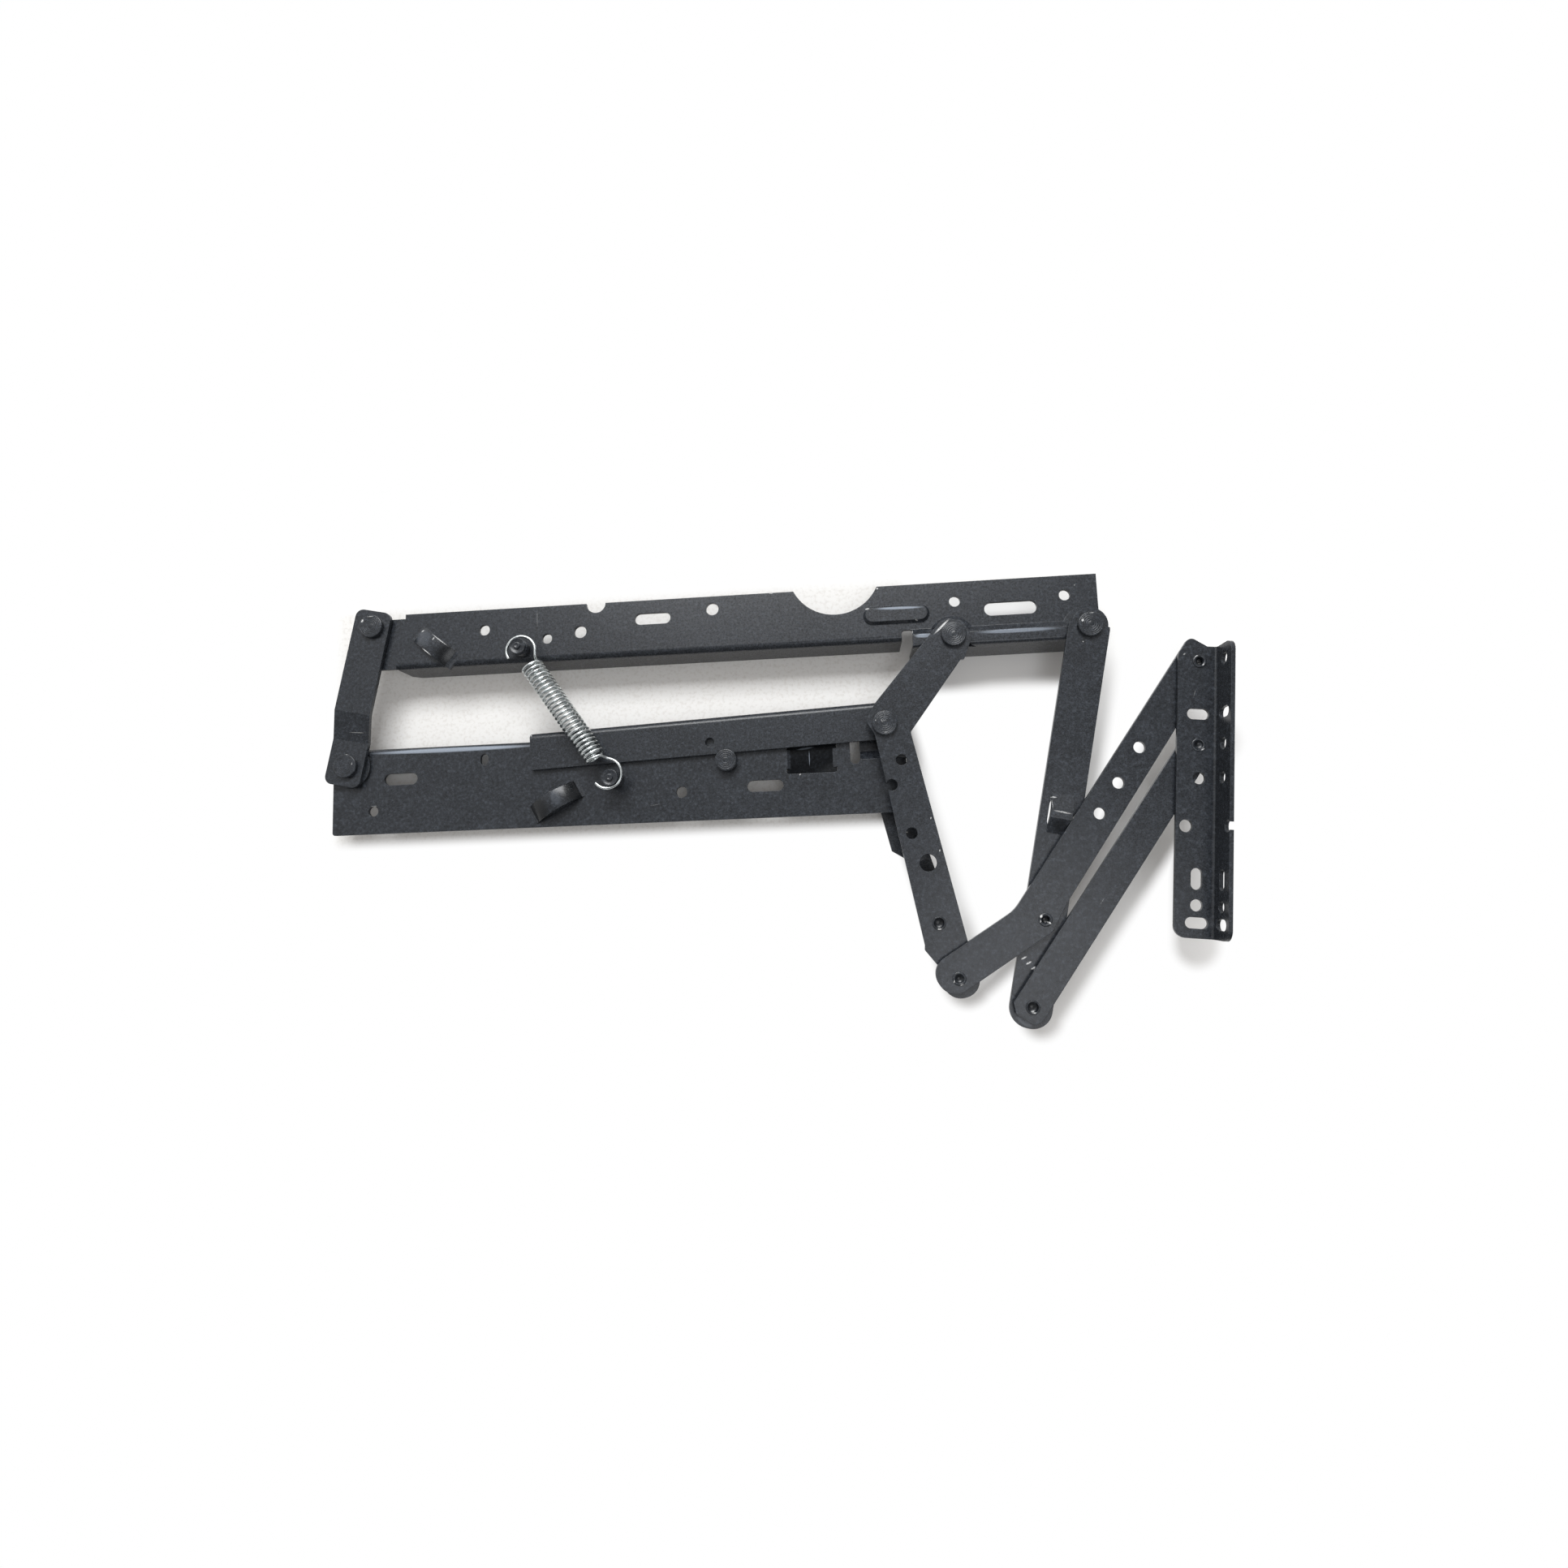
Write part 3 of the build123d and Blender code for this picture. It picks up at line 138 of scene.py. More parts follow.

# Colours and noise scales of the coat
# Colour of the painted highlights laid on bends, crests and rims
PAINTED_HIGHLIGHT_COLOUR = (0.28, 0.32, 0.38)
PEEL_SCALE = 1900.0
TORN_SCALE = 1500.0
DUST_SCALE = 1000.0
MOTTLE_SCALE = 520.0
RUB_SCALE = 210.0
CLOUD_SCALE = 34.0

# Marks on the pieces, each (x, y, length, width, turn, strength) in mm and degrees. Chips and glints are
# chips, scratches and bare patches in the steel's colour, together with glints and edge highlights painted in
# that colour;
# painted shade darkens tab ramps, bores, creases, a notch and an edge where shade falls, besides one real
# dark scuff;
# painted highlights are pale bands painted on bends, crests and rims
BASE_RAIL_MARKS = {
    # Chips and scratches, with a painted glint on the lance's crest and a painted highlight on a hole's rim
    "chips_and_glints": (
        (0.5, 3.7, 5.5, 0.6, 0, 0.5), (200, -4, 9, 0.3, 8, 0.3),
        (131.6, 7.2, 4.5, 1.2, 25, 1), (300.5, 12.5, 2, 1.2, 40, 0.5),
    ),
    # Painted shade on the lance's two ramps
    "painted_shade_and_scuffs": ((140.8, 6.1, 16, 13.5, 28, 0.65), (122, -3.9, 16, 13.5, 28, 0.65)),
    # Painted highlight along the bend of the top flange
    "painted_highlights": ((56.5, 41.2, 135, 4, 0, 0.9),),
}
SEAT_RAIL_MARKS = {
    # Chips, scratches, a speck and a nick, with a painted highlight on the relief's edge and painted glints
    # round the stop tab
    "chips_and_glints": (
        (120.85, 129.8, 14.7, 0.4, 90, 0.35), (380.6, 104.6, 3.4, 0.8, 82, 0.6),
        (358.6, 137.1, 1.8, 1.2, 0, 0.9), (351.1, 122.9, 3.4, 2, 0, 0.9),
        (383.8, 112.9, 2.4, 1, -20, 0.6), (285.7, 138.1, 3.4, 0.8, 0, 0.5),
        (490.5, 131.5, 1, 1, 0, 0.5), (38.5, 122.8, 6, 1.8, 20, 0.9),
        (51.2, 118.6, 14, 0.8, -40, 0.8), (40.5, 111.9, 9, 0.6, -40, 0.8),
    ),
    # Painted shade on the stop tab's lower ramp
    "painted_shade_and_scuffs": ((54.7, 107.9, 14.5, 13.5, -40, 0.65),),
    # Painted highlights on the tab's upper ramp, the rib's crest and the raised strip's bends
    "painted_highlights": (
        (40.1, 120.1, 13, 12, -40, 0.12), (372.4, 121.8, 37, 2.2, -1, 0.9),
        (387.8, 101.2, 14.5, 3.6, 0, 0.75), (450, 101.2, 62, 3.6, 0, 0.6),
    ),
}
SUPPORT_BAR_MARKS = {
    "chips_and_glints": ((113.8, 48.4, 4.2, 1.8, -40, 0.75), (112.9, 33.3, 1.8, 1.2, 0, 0.9)),
    # Painted shade in a small notch in the top edge
    "painted_shade_and_scuffs": ((120.9, 47.7, 1.8, 0.8, 0, 0.9),),
}
BRACKET_MARKS = {
    "chips_and_glints": ((555.5, 50.2, 6, 0.4, 70, 0.3), (551.5, 76.2, 2.4, 1, 30, 0.5)),
}
TAB_MARKS = {
    # Painted glints on the tabs' crests and edges
    "chips_and_glints": (
        (130.2, 8.3, 5.8, 1.4, 35, 1), (37.6, 125.4, 6.2, 1.6, 12, 1),
        (52.5, 117.4, 17, 0.7, -40, 0.8), (43.2, 109.3, 10, 1.2, -40, 1),
        (48.2, 118.5, 3, 1.2, 50, 0.7),
    ),
    # Painted shade on the tabs' ramps
    "painted_shade_and_scuffs": (
        (145.5, 8.6, 24, 26, 28, 0.9), (119.5, -5.2, 24, 26, 28, 0.9),
        (57.5, 105.5, 24, 26, -40, 0.9),
    ),
    # Painted highlights on the tabs' crests and upper ramps
    "painted_highlights": ((133.5, 2.9, 8, 14, 28, 0.1), (40.2, 120, 16, 13, -40, 0.1)),
}
WINDOW_MARKS = {
    # Painted highlights: a thin line down the bowl's middle and a band on the window's top rim
    "painted_highlights": ((307.2, 23.5, 0.8, 12.5, 0, 0.45), (304.5, 30.3, 13, 1.8, 6, 0.3)),
}
CRANK_MARKS = {
    # Chips along the arm's end and edges, with a painted glint at a hole
    "chips_and_glints": (
        (399.6, 105.6, 16.5, 1.9, 43, 1), (402.6, 103.8, 5, 2.8, 60, 0.8),
        (371.2, -29.3, 1.8, 1, 0, 0.8), (385.3, -21.9, 1.8, 1, 75, 0.8),
        (389.8, -43.2, 1.8, 1, 75, 0.8),
    ),
    # Painted shade along a fold
    "painted_shade_and_scuffs": ((383.1, -102.6, 18, 0.6, -60, 0.8),),
}
REAR_LINK_MARKS = {
    "chips_and_glints": (
        (-8.4, 55.3, 15, 0.5, -5, 0.45), (-10.7, 137.8, 1.6, 1, 80, 0.6),
        (-11.4, 133.2, 1.6, 1, 80, 0.6),
    ),
}
FRONT_LINK_MARKS = {
    # Four pale scuffs, a burr and specks, with painted highlights along the tab's edge and crest and round
    # the link's end, and a painted glint
    "chips_and_glints": (
        (438.8, -113.2, 4.8, 1.3, 25, 1), (441.6, -116.4, 4.8, 1.3, 25, 1),
        (444.4, -119.6, 4.8, 1.3, 25, 1), (447.4, -123, 4.8, 1.3, 25, 1),
        (462.6, -16, 8.5, 0.6, 88, 0.5), (468.5, -21.9, 13.8, 1.4, -14, 0.55),
        (487, 109.8, 7.5, 0.6, 48, 0.6), (496.2, 113.2, 8.5, 0.6, -3, 0.6),
        (464.3, -11.8, 4.6, 1, -5, 0.95), (508.9, 97.6, 1.6, 1, 60, 0.7),
        (490.8, 90, 1, 1, 0, 0.7), (426.3, -86.1, 1.6, 1, 70, 0.6),
        (444, -63.5, 1.6, 1, 70, 0.6),
    ),
    # Painted shade on the tab's lower ramp, and a real dark scuff near the top pivot
    "painted_shade_and_scuffs": ((466.8, -30.3, 10.5, 13.5, 78, 0.65), (490.5, 108.5, 4.2, 1.6, 20, 0.8)),
    # Painted highlight on the link's foot
    "painted_highlights": ((436.5, -153, 14, 4.5, -36, 0.3),),
}
BENT_LINK_MARKS = {
    "chips_and_glints": ((516.5, -21.5, 2, 0.8, 60, 0.5),),
}
STRAIGHT_LINK_MARKS = {
    "chips_and_glints": ((489, -79, 7, 0.4, 55, 0.3),),
    # Painted shade along the cut end's edge
    "painted_shade_and_scuffs": ((436.1, -150.6, 15.5, 1.1, -36, 0.95),),
    # Painted highlight beyond it
    "painted_highlights": ((434.7, -153.3, 13.5, 4.6, -36, 0.22),),
}
RIVET_MARKS = {
    # Chips on the heads, with painted highlights on their rims and painted glints
    "chips_and_glints": (
        (3.4, 136.3, 5.5, 0.9, 0, 0.5), (-2.6, 122.6, 7.5, 0.7, -38, 0.5),
        (496.8, 108.2, 3.5, 0.7, 0, 0.6), (359, 35.6, 3.5, 0.6, 0, 0.4),
        (-15.5, 40.2, 4.8, 1, -8, 1), (-11.5, 33.3, 2.4, 0.7, 75, 0.6),
        (-2.3, 133.4, 3, 2, 62, 0.9), (490.7, 103.6, 2.4, 1.9, 60, 0.9),
        (352.6, 43.9, 1.2, 1.2, 0, 0.6), (356.5, 43.4, 2.6, 0.6, -60, 0.5),
    ),
}
ROLLED_END_MARKS = {
    # Bare patches and painted glints on the rolled ends
    "chips_and_glints": (
        (393.6, -126.2, 2.2, 0.9, 80, 0.9), (398.2, -128.4, 2.8, 1.2, 30, 1),
        (450.3, -87.2, 2.6, 2, 60, 1), (449.7, -90.5, 1.8, 1.2, 80, 0.9),
        (455.3, -91.5, 3, 1.4, -40, 0.8), (562.3, 68.5, 2.2, 1, 45, 0.9),
        (558.5, 74.2, 2.6, 0.8, 20, 0.7), (557.2, 13.9, 3.4, 1.1, 25, 0.9),
        (551.2, 20.9, 2, 1.2, -60, 0.9), (441.8, -146.6, 3, 1.4, 0, 0.8),
        (386.8, -93.4, 3.6, 1.2, 0, 0.8),
    ),
    # Painted shade in the bores
    "painted_shade_and_scuffs": tuple((x, y, BORE_SIZE, BORE_SIZE, 0, 0.8) for x, y in BORE_PLACES),
}

ARCH_ROUNDING = 0.0011

# Turned pieces: radii and levels in mm
FACE_HEAD = (8.25, 3.0)
BACK_HEAD = (7.5, -3.0)
HEAD_RINGS = (7.0, 5.9, 4.6, 3.3, 2.0)
SHANK = 4.0
AXIS = 0.3
# Node, shank, level under the back head, level under the front head
HEADED_RIVETS = (
    ("rear_base_rivet", 4.0, 0.0, 7.7),
    ("crank_seat_rivet", 4.0, 11.5, 18.2),
    ("front_seat_rivet", 4.0, 11.5, 18.2),
    ("main_pivot_rivet", 5.0, -9.6, 18.2),
)
# Node, level under the back head, level of the rolled end, bore
TUBULAR_RIVETS = (
    ("cross_rivet", 15.1, 22.3, 2.5),
    ("front_foot_rivet", 15.1, 22.3, 3.3),
    ("bracket_top_rivet", 19.2, 25.9, 2.4),
    ("cheek_rivet", 12.1, 18.1, 3.2),
)
# Nodes in two halves: name, level under the back head, level of the split, level of the rolled end
SPLIT_RIVETS = (
    ("crank_foot_rivet", 15.1, 19.1, 22.2),
    ("bracket_low_rivet", 19.2, 23.2, 25.8),
)
STUD_SHOULDER = 16.7
# Collar and small end of a spring stud above its shoulder
STUD_END = [(5.2, 16.7), (5.2, 19.3), (5.6, 19.3), (5.6, 19.75), (5.45, 19.9), (4.5, 19.9), (4.35, 19.8),
            (2.4, 19.8), (2.4, 20.7), (2.25, 21.0), (1.95, 21.1), (1.2, 21.1), (1.0, 20.95), (AXIS, 20.95)]


class ShaderSocket:
    """A value in a node tree, with arithmetic"""

    def __init__(self, tree, socket):
        self.tree = tree
        self.socket = socket

    def _math(self, operation, other=None, swap=False):
        node = self.tree.nodes.new("ShaderNodeMath")
        node.operation = operation
        for index, value in enumerate((other, self) if swap else (self, other)):
            if isinstance(value, ShaderSocket):
                self.tree.links.new(value.socket, node.inputs[index])
            elif value is not None:
                node.inputs[index].default_value = value
        return ShaderSocket(self.tree, node.outputs[0])

    def __add__(self, other):
        return self._math("ADD", other)

    def __sub__(self, other):
        return self._math("SUBTRACT", other)

    def __rsub__(self, other):
        return self._math("SUBTRACT", other, swap=True)

    def __mul__(self, other):
        return self._math("MULTIPLY", other)

    def __truediv__(self, other):
        return self._math("DIVIDE", other)

    def __pow__(self, other):
        return self._math("POWER", other)

    def smaller(self, other):
        return self._math("MINIMUM", other)

    def larger(self, other):
        return self._math("MAXIMUM", other)

    def size(self):
        return self._math("ABSOLUTE")

    def clamp(self):
        node = self.tree.nodes.new("ShaderNodeClamp")
        self.tree.links.new(self.socket, node.inputs[0])
        return ShaderSocket(self.tree, node.outputs[0])


class Finish:
    """A material under construction"""

    def __init__(self, name):
        self.material = bpy.data.materials.new(name)
        self.material.use_nodes = True
        self.tree = self.material.node_tree
        self.shader = self.tree.nodes["Principled BSDF"]
        self.place = self.out(self.node("ShaderNodeTexCoord"), "Object")

    def node(self, kind, settings=None, inputs=None):
        """Adds a node; settings are set before its inputs, which are values or sockets"""
        node = self.tree.nodes.new(kind)
        for key, value in (settings or {}).items():
            setattr(node, key, value)
        for key, value in (inputs or {}).items():
            if isinstance(value, ShaderSocket):
                self.tree.links.new(value.socket, node.inputs[key])
            else:
                node.inputs[key].default_value = value
        return node

    def out(self, node, name=0):
        return ShaderSocket(self.tree, node.outputs[name])

    def noise(self, scale, detail, roughness):
        node = self.node("ShaderNodeTexNoise", None,
                         {"Vector": self.place, "Scale": scale, "Detail": detail, "Roughness": roughness})
        return self.out(node, "Fac")

    def step(self, value, low, high, out_low=0.0, out_high=1.0):
        """Runs smoothly from out_low to out_high while value goes from low to high"""
        node = self.node("ShaderNodeMapRange", {"interpolation_type": "SMOOTHSTEP"},
                         {"Value": value, "From Min": low, "From Max": high,
                          "To Min": out_low, "To Max": out_high})
        return self.out(node, "Result")

    def axes(self):
        node = self.node("ShaderNodeSeparateXYZ", None, {"Vector": self.place})
        return self.out(node, "X"), self.out(node, "Y")

    def edge(self, radius):
        """Above 0 on edges rounder than the mesh shows, 0 on flat faces"""
        bevel = self.node("ShaderNodeBevel", {"samples": 4}, {"Radius": radius})
        geometry = self.node("ShaderNodeNewGeometry")
        node = self.node("ShaderNodeVectorMath", {"operation": "DOT_PRODUCT"})
        self.tree.links.new(bevel.outputs[0], node.inputs[0])
        self.tree.links.new(geometry.outputs["Normal"], node.inputs[1])
        return 1 - self.out(node, "Value")

    def blob(self, mark, soft):
        """1 inside a mark, a long spot in the plane of X and Y"""
        centre_x, centre_y, length, width, turn, strength = mark
        x, y = self.axes()
        across = x - MM * centre_x
        up = y - MM * centre_y
        c = cos(radians(turn))
        s = sin(radians(turn))
        along = (across * c + up * s) / (0.5 * MM * length)
        side = (up * c - across * s) / (0.5 * MM * width)
        distance = (along * along + side * side) ** 0.5
        return self.step(distance, 1.0 - soft, 1.0, 1.0, 0.0) * strength

    def mix(self, factor, first, second):
        """Colour between first and second"""
        node = self.node("ShaderNodeMix", {"data_type": "RGBA"})
        self.tree.links.new(factor.socket, node.inputs[0])
        for index, value in ((6, first), (7, second)):
            if isinstance(value, ShaderSocket):
                self.tree.links.new(value.socket, node.inputs[index])
            else:
                node.inputs[index].default_value = (*value[:3], 1.0)
        return ShaderSocket(self.tree, node.outputs[2])

    def bump(self, height, distance, strength, round_edges=0.0):
        """Fine relief, over edges that look rounded to a radius"""
        node = self.node("ShaderNodeBump", None,
                         {"Height": height, "Distance": distance, "Strength": strength})
        if round_edges:
            bevel = self.node("ShaderNodeBevel", {"samples": 4}, {"Radius": round_edges})
            self.tree.links.new(bevel.outputs[0], node.inputs["Normal"])
        self.tree.links.new(node.outputs[0], self.shader.inputs["Normal"])

    def set(self, **values):
        """Sets sockets of the surface, such as Base_Color, from values or sockets"""
        for key, value in values.items():
            socket = self.shader.inputs[key.replace("_", " ")]
            if isinstance(value, ShaderSocket):
                self.tree.links.new(value.socket, socket)
            else:
                socket.default_value = value


def dress(material, *names):
    """Gives CAD nodes a finish"""
    for name in names:
        node = NODES[name]
        node.data.materials.clear()
        node.data.materials.append(material)


def shade(colour, factor):
    return [c * factor for c in colour]


def powder_coat(name, colour, chip_and_glint_colour, wear, chips_and_glints=(), painted_shade_and_scuffs=(), painted_highlights=(), rough=0.28, grain=1.0,
                gloss=0.4):
    """Satin black coat on pressed steel: orange peel, mottled, paler where edges have rubbed, and marked with
    chips and scratches, painted glints, painted shade and painted highlights
    """
    coat = Finish(name)
    peel = coat.noise(PEEL_SCALE, 2.0, 0.55)
    cloud = coat.noise(CLOUD_SCALE, 3.0, 0.6)
    dust = coat.noise(DUST_SCALE, 3.0, 0.7)
    mottle = coat.noise(MOTTLE_SCALE, 2.0, 0.8)
    patchy = coat.noise(RUB_SCALE, 3.0, 0.65)
    torn = coat.noise(TORN_SCALE, 2.0, 0.7)

    base = coat.mix(coat.step(cloud, 0.3, 0.7), shade(colour, 0.88), shade(colour, 1.12))
    base = coat.mix(coat.step(dust, 0.55, 0.75) * 0.4, base, shade(colour, 2.3))
    base = coat.mix(coat.step(dust, 0.3, 0.42, 0.5, 0.0), base, shade(colour, 0.45))
    base = coat.mix(coat.step(mottle, 0.5, 0.72) * 0.75, base, shade(colour, 2.7))
    base = coat.mix(coat.step(mottle, 0.28, 0.5, 0.75, 0.0), base, shade(colour, 0.3))
    rub = (coat.step(coat.edge(0.4 * MM), 0.03, 0.16) * coat.step(patchy, 0.36, 0.62)).clamp()
    base = coat.mix(rub * wear, base, shade(colour, 7.0))
    # Painted shade: the colour is darkened where shade falls on ramps, bores, creases and a notch, and on one
    # real dark scuff
    for mark in painted_shade_and_scuffs:
        base = coat.mix(coat.blob(mark, 0.6), base, shade(colour, 0.2))
    # Painted highlights: pale bands on bends, crests and rims
    for mark in painted_highlights:
        base = coat.mix(coat.blob(mark, 0.5), base, PAINTED_HIGHLIGHT_COLOUR)

    roughness = coat.step(dust, 0.3, 0.7, rough - 0.05, rough + 0.06)
    height = peel * 0.6 + dust * 0.4
    # Chips and scratches show the steel's colour, and glints and edge highlights are painted in the same
    # colour
    if chips_and_glints:
        marks = None
        for mark in chips_and_glints:
            ragged = coat.blob(mark, 0.6) * coat.step(torn, 0.34, 0.50)
            marks = ragged if marks is None else marks.larger(ragged)
        base = coat.mix(marks, base, chip_and_glint_colour)
        roughness = roughness - marks * 0.1
        height = height - marks * 0.8
    coat.set(Base_Color=base, Roughness=roughness, Metallic=0.0, Specular_IOR_Level=gloss)
    coat.bump(height, 0.03 * MM * grain, 0.6, 0.5 * MM)
    return coat.material


def zinc_wire(colour):
    """Bright zinc on drawn wire: cloudy, with duller specks"""
    zinc = Finish("bright zinc wire")
    fine = zinc.noise(1500.0, 2.0, 0.6)
    cloud = zinc.noise(150.0, 2.0, 0.5)
    base = zinc.mix(zinc.step(cloud, 0.3, 0.7), shade(colour, 0.8), shade(colour, 1.25))
    base = zinc.mix(zinc.step(fine, 0.58, 0.75) * 0.4, base, shade(colour, 0.4))
    zinc.set(Base_Color=base, Roughness=zinc.step(cloud, 0.3, 0.7, 0.2, 0.32), Metallic=1.0)
    zinc.bump(fine, 0.02 * MM, 0.5)
    return zinc.material


def deselect():
    """Leaves nothing selected and no object active"""
    for node in list(bpy.context.selected_objects):
        node.select_set(False)
    bpy.context.view_layer.objects.active = None


def head(level, radius, height, rings=HEAD_RINGS):
    """Outline in mm of a flat head with a rounded rim and faint turning rings, from its rim to its middle"""
    side = 1 if height > 0 else -1
    top = level + height
    line = [(radius, level), (radius, top - side * 0.55), (radius - 0.07, top - side * 0.3),
            (radius - 0.22, top - side * 0.12), (radius - 0.5, top)]
    for ring in rings:
        if ring < radius - 0.8:
            line += [(ring + 0.16, top), (ring, top - side * 0.06), (ring - 0.16, top)]
    return line + [(AXIS, top)]


def back_head(level, radius=BACK_HEAD[0], height=BACK_HEAD[1], rings=HEAD_RINGS):
    """Outline in mm of a head on the back, from its middle to its rim"""
    return head(level, radius, height, rings)[::-1]


def rolled_end(face, bore, depth=4.5):
    """Outline in mm of a tubular rivet's rolled end above its shank"""
    rim = 4.4
    wall = rim - bore
    line = [(rim, face)]
    for turn in (20, 50, 75, 100, 125, 150, 180):
        angle = radians(turn)
        line.append((bore + wall * (0.5 + 0.5 * cos(angle)), face + 0.2 + 0.5 * sin(angle)))
    return line + [(bore, face - depth + 0.8), (0.7 * bore, face - depth + 0.2), (AXIS, face - depth)]


def turned_piece(node, profile, material):
    """Turns a piece about its own axis from (radius, level) points in mm, in place of the CAD node"""
    low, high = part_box(node)
    centre = 0.5 * (low.x + high.x), 0.5 * (low.y + high.y)
    deselect()
    radius, level = profile[0]
    bpy.ops.mesh.primitive_circle_add(vertices=64, radius=MM * radius, fill_type="NGON",
                                      location=(*centre, MM * level))
    piece = bpy.context.object
    piece.name = node + "_turned"
    bpy.ops.object.mode_set(mode="EDIT")
    for wider, higher in profile[1:]:
        bpy.ops.mesh.extrude_region_move(TRANSFORM_OT_translate={"value": (0, 0, MM * (higher - level))})
        grow = wider / radius
        bpy.ops.transform.resize(value=(grow, grow, 1), center_override=(*centre, MM * higher))
        radius, level = wider, higher
    bpy.ops.mesh.select_all(action="SELECT")
    bpy.ops.mesh.normals_make_consistent(inside=False)
    bpy.ops.object.mode_set(mode="OBJECT")
    bpy.ops.object.transform_apply(location=True, rotation=True, scale=True)
    bpy.ops.object.shade_smooth_by_angle(angle=radians(40))
    piece.data.materials.append(material)
    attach(piece, NODES[node]["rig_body"])
    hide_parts(node)


def pressed_arch(name, node, material, centre, heading, length, width, level, rise):
    """Bows a lanced tab or a window's bottom out of a web's face; a negative rise goes down behind it"""
    deselect()
    half = 0.5 * length
    height = abs(rise)
    drop = (half * half - height * height) / (2.0 * height)
    side = 1.0 if rise > 0 else -1.0
    bpy.ops.mesh.primitive_cylinder_add(vertices=192, radius=height + drop, depth=width,
                                        location=(*centre, level - side * drop),
                                        rotation=(0.5 * pi, 0.0, radians(heading)))
    arch = bpy.context.object
    arch.name = name
    bpy.ops.object.mode_set(mode="EDIT")
    bpy.ops.mesh.select_all(action="SELECT")
    bpy.ops.mesh.bisect(plane_co=(*centre, level), plane_no=(0.0, 0.0, side), clear_inner=True, use_fill=True)
    bpy.ops.mesh.select_all(action="SELECT")
    bpy.ops.mesh.normals_make_consistent(inside=False)
    bpy.ops.object.mode_set(mode="OBJECT")
    bpy.ops.object.transform_apply(location=True, rotation=True, scale=True)
    soft = arch.modifiers.new("rounding", "BEVEL")
    soft.width = ARCH_ROUNDING
    soft.segments = 3
    soft.limit_method = "ANGLE"
    soft.angle_limit = radians(25)
    bpy.ops.object.modifier_apply(modifier=soft.name)
    bpy.ops.object.shade_smooth_by_angle(angle=radians(40))
    arch.data.materials.append(material)
    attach(arch, NODES[node]["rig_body"])


class ReclinerFinish(bpy.types.PropertyGroup):
    """Colours of the coat and of the bare steel, which also colours the painted glints and edge highlights"""

    coat: FloatVectorProperty(name="Coat", description="Colour of the black coat", subtype="COLOR", size=3,
                              default=(0.020, 0.023, 0.028), min=0.0, max=1.0)
    # Bare steel's colour, used for the chips and for the painted glints and edge highlights
    chip_and_glint_colour: FloatVectorProperty(name="Bare steel", description="Colour where the coat has chipped", size=3,
                              subtype="COLOR", default=(0.70, 0.71, 0.71), min=0.0, max=1.0)
    wear: FloatProperty(name="Edge wear", description="How pale the edges have rubbed", subtype="FACTOR",
                        default=0.35, min=0.0, max=1.0)


class ReclinerSpring(bpy.types.PropertyGroup):
    """Sizes and colour of the return spring"""

    wire: FloatProperty(name="Wire radius", description="Radius of the wire", unit="LENGTH", default=0.001,
                        min=0.0002)
    coil: FloatProperty(name="Coil radius", description="Middle radius of the coil", unit="LENGTH",
                        default=0.00685)
    hook: FloatProperty(name="Hook radius", description="Middle radius of the hooks", unit="LENGTH",
                        default=0.01)
    start: FloatProperty(name="Coil start", description="From a stud to the coil's end", unit="LENGTH",
                         default=0.0167)
    turns: IntProperty(name="Turns", description="Whole turns of the coil, before its last half turn",
                       default=25, min=3)
    zinc: FloatVectorProperty(name="Zinc", description="Colour of the plated wire", subtype="COLOR", size=3,
                              default=(0.62, 0.65, 0.65), min=0.0, max=1.0)


class RECLINER_OT_rails(bpy.types.Operator):
    """Coats the two rails, the support bar and the bracket, and bows the tabs and the window's bottom"""

    bl_idname = "recliner.rails"
    bl_label = "Rails and bracket"

    def execute(self, context):
        look = context.scene.recliner_finish
        coat = tuple(look.coat)
        chip_and_glint_colour = tuple(look.chip_and_glint_colour)
        for node, name, marks in (("base_rail", "base rail coat", BASE_RAIL_MARKS),
                                  ("seat_rail", "seat rail coat", SEAT_RAIL_MARKS),
                                  ("support_bar", "support bar coat", SUPPORT_BAR_MARKS),
                                  ("footrest_bracket", "bracket coat", BRACKET_MARKS)):
            dress(powder_coat(name, coat, chip_and_glint_colour, look.wear, **marks), node)
        tab = powder_coat("pressed tab coat", coat, chip_and_glint_colour, look.wear, rough=0.24, **TAB_MARKS)
        pressed_arch("base_lance_arch", "base_rail", tab, centre=(0.1314, 0.0011), heading=28.0,
                     length=0.0372, width=0.0129, level=0.0022, rise=0.0096)
        pressed_arch("seat_lance_arch", "seat_rail", tab, centre=(0.0474, 0.114), heading=-39.8,
                     length=0.0322, width=0.0129, level=0.0092, rise=0.0051)
        # The window's bowl gets the coat at a quarter of its colour: painted shade in the recess behind the
        # window, with painted highlights
        shaded_window_coat = powder_coat("window bowl painted shade coat", shade(coat, 0.25), chip_and_glint_colour, 0.2, rough=0.22, grain=0.6, gloss=0.1,
                          **WINDOW_MARKS)
        pressed_arch("window_bowl", "base_rail", shaded_window_coat, centre=(0.3087, 0.0232), heading=0.0,
                     length=0.0340, width=0.0196, level=0.0012, rise=-0.0128)
        return {"FINISHED"}


class RECLINER_OT_links(bpy.types.Operator):
    """Coats the crank and the links"""

    bl_idname = "recliner.links"
    bl_label = "Crank and links"

    def execute(self, context):
        look = context.scene.recliner_finish
        coat = tuple(look.coat)
        chip_and_glint_colour = tuple(look.chip_and_glint_colour)
        for nodes, name, marks in ((("bell_crank", "bell_crank_cheek"), "crank coat", CRANK_MARKS),
                                   (("rear_link",), "rear link coat", REAR_LINK_MARKS),
                                   (("front_link",), "front link coat", FRONT_LINK_MARKS),
                                   (("bent_link",), "bent link coat", BENT_LINK_MARKS),
                                   (("straight_link",), "straight link coat", STRAIGHT_LINK_MARKS)):
            dress(powder_coat(name, coat, chip_and_glint_colour, look.wear, **marks), *nodes)
        return {"FINISHED"}


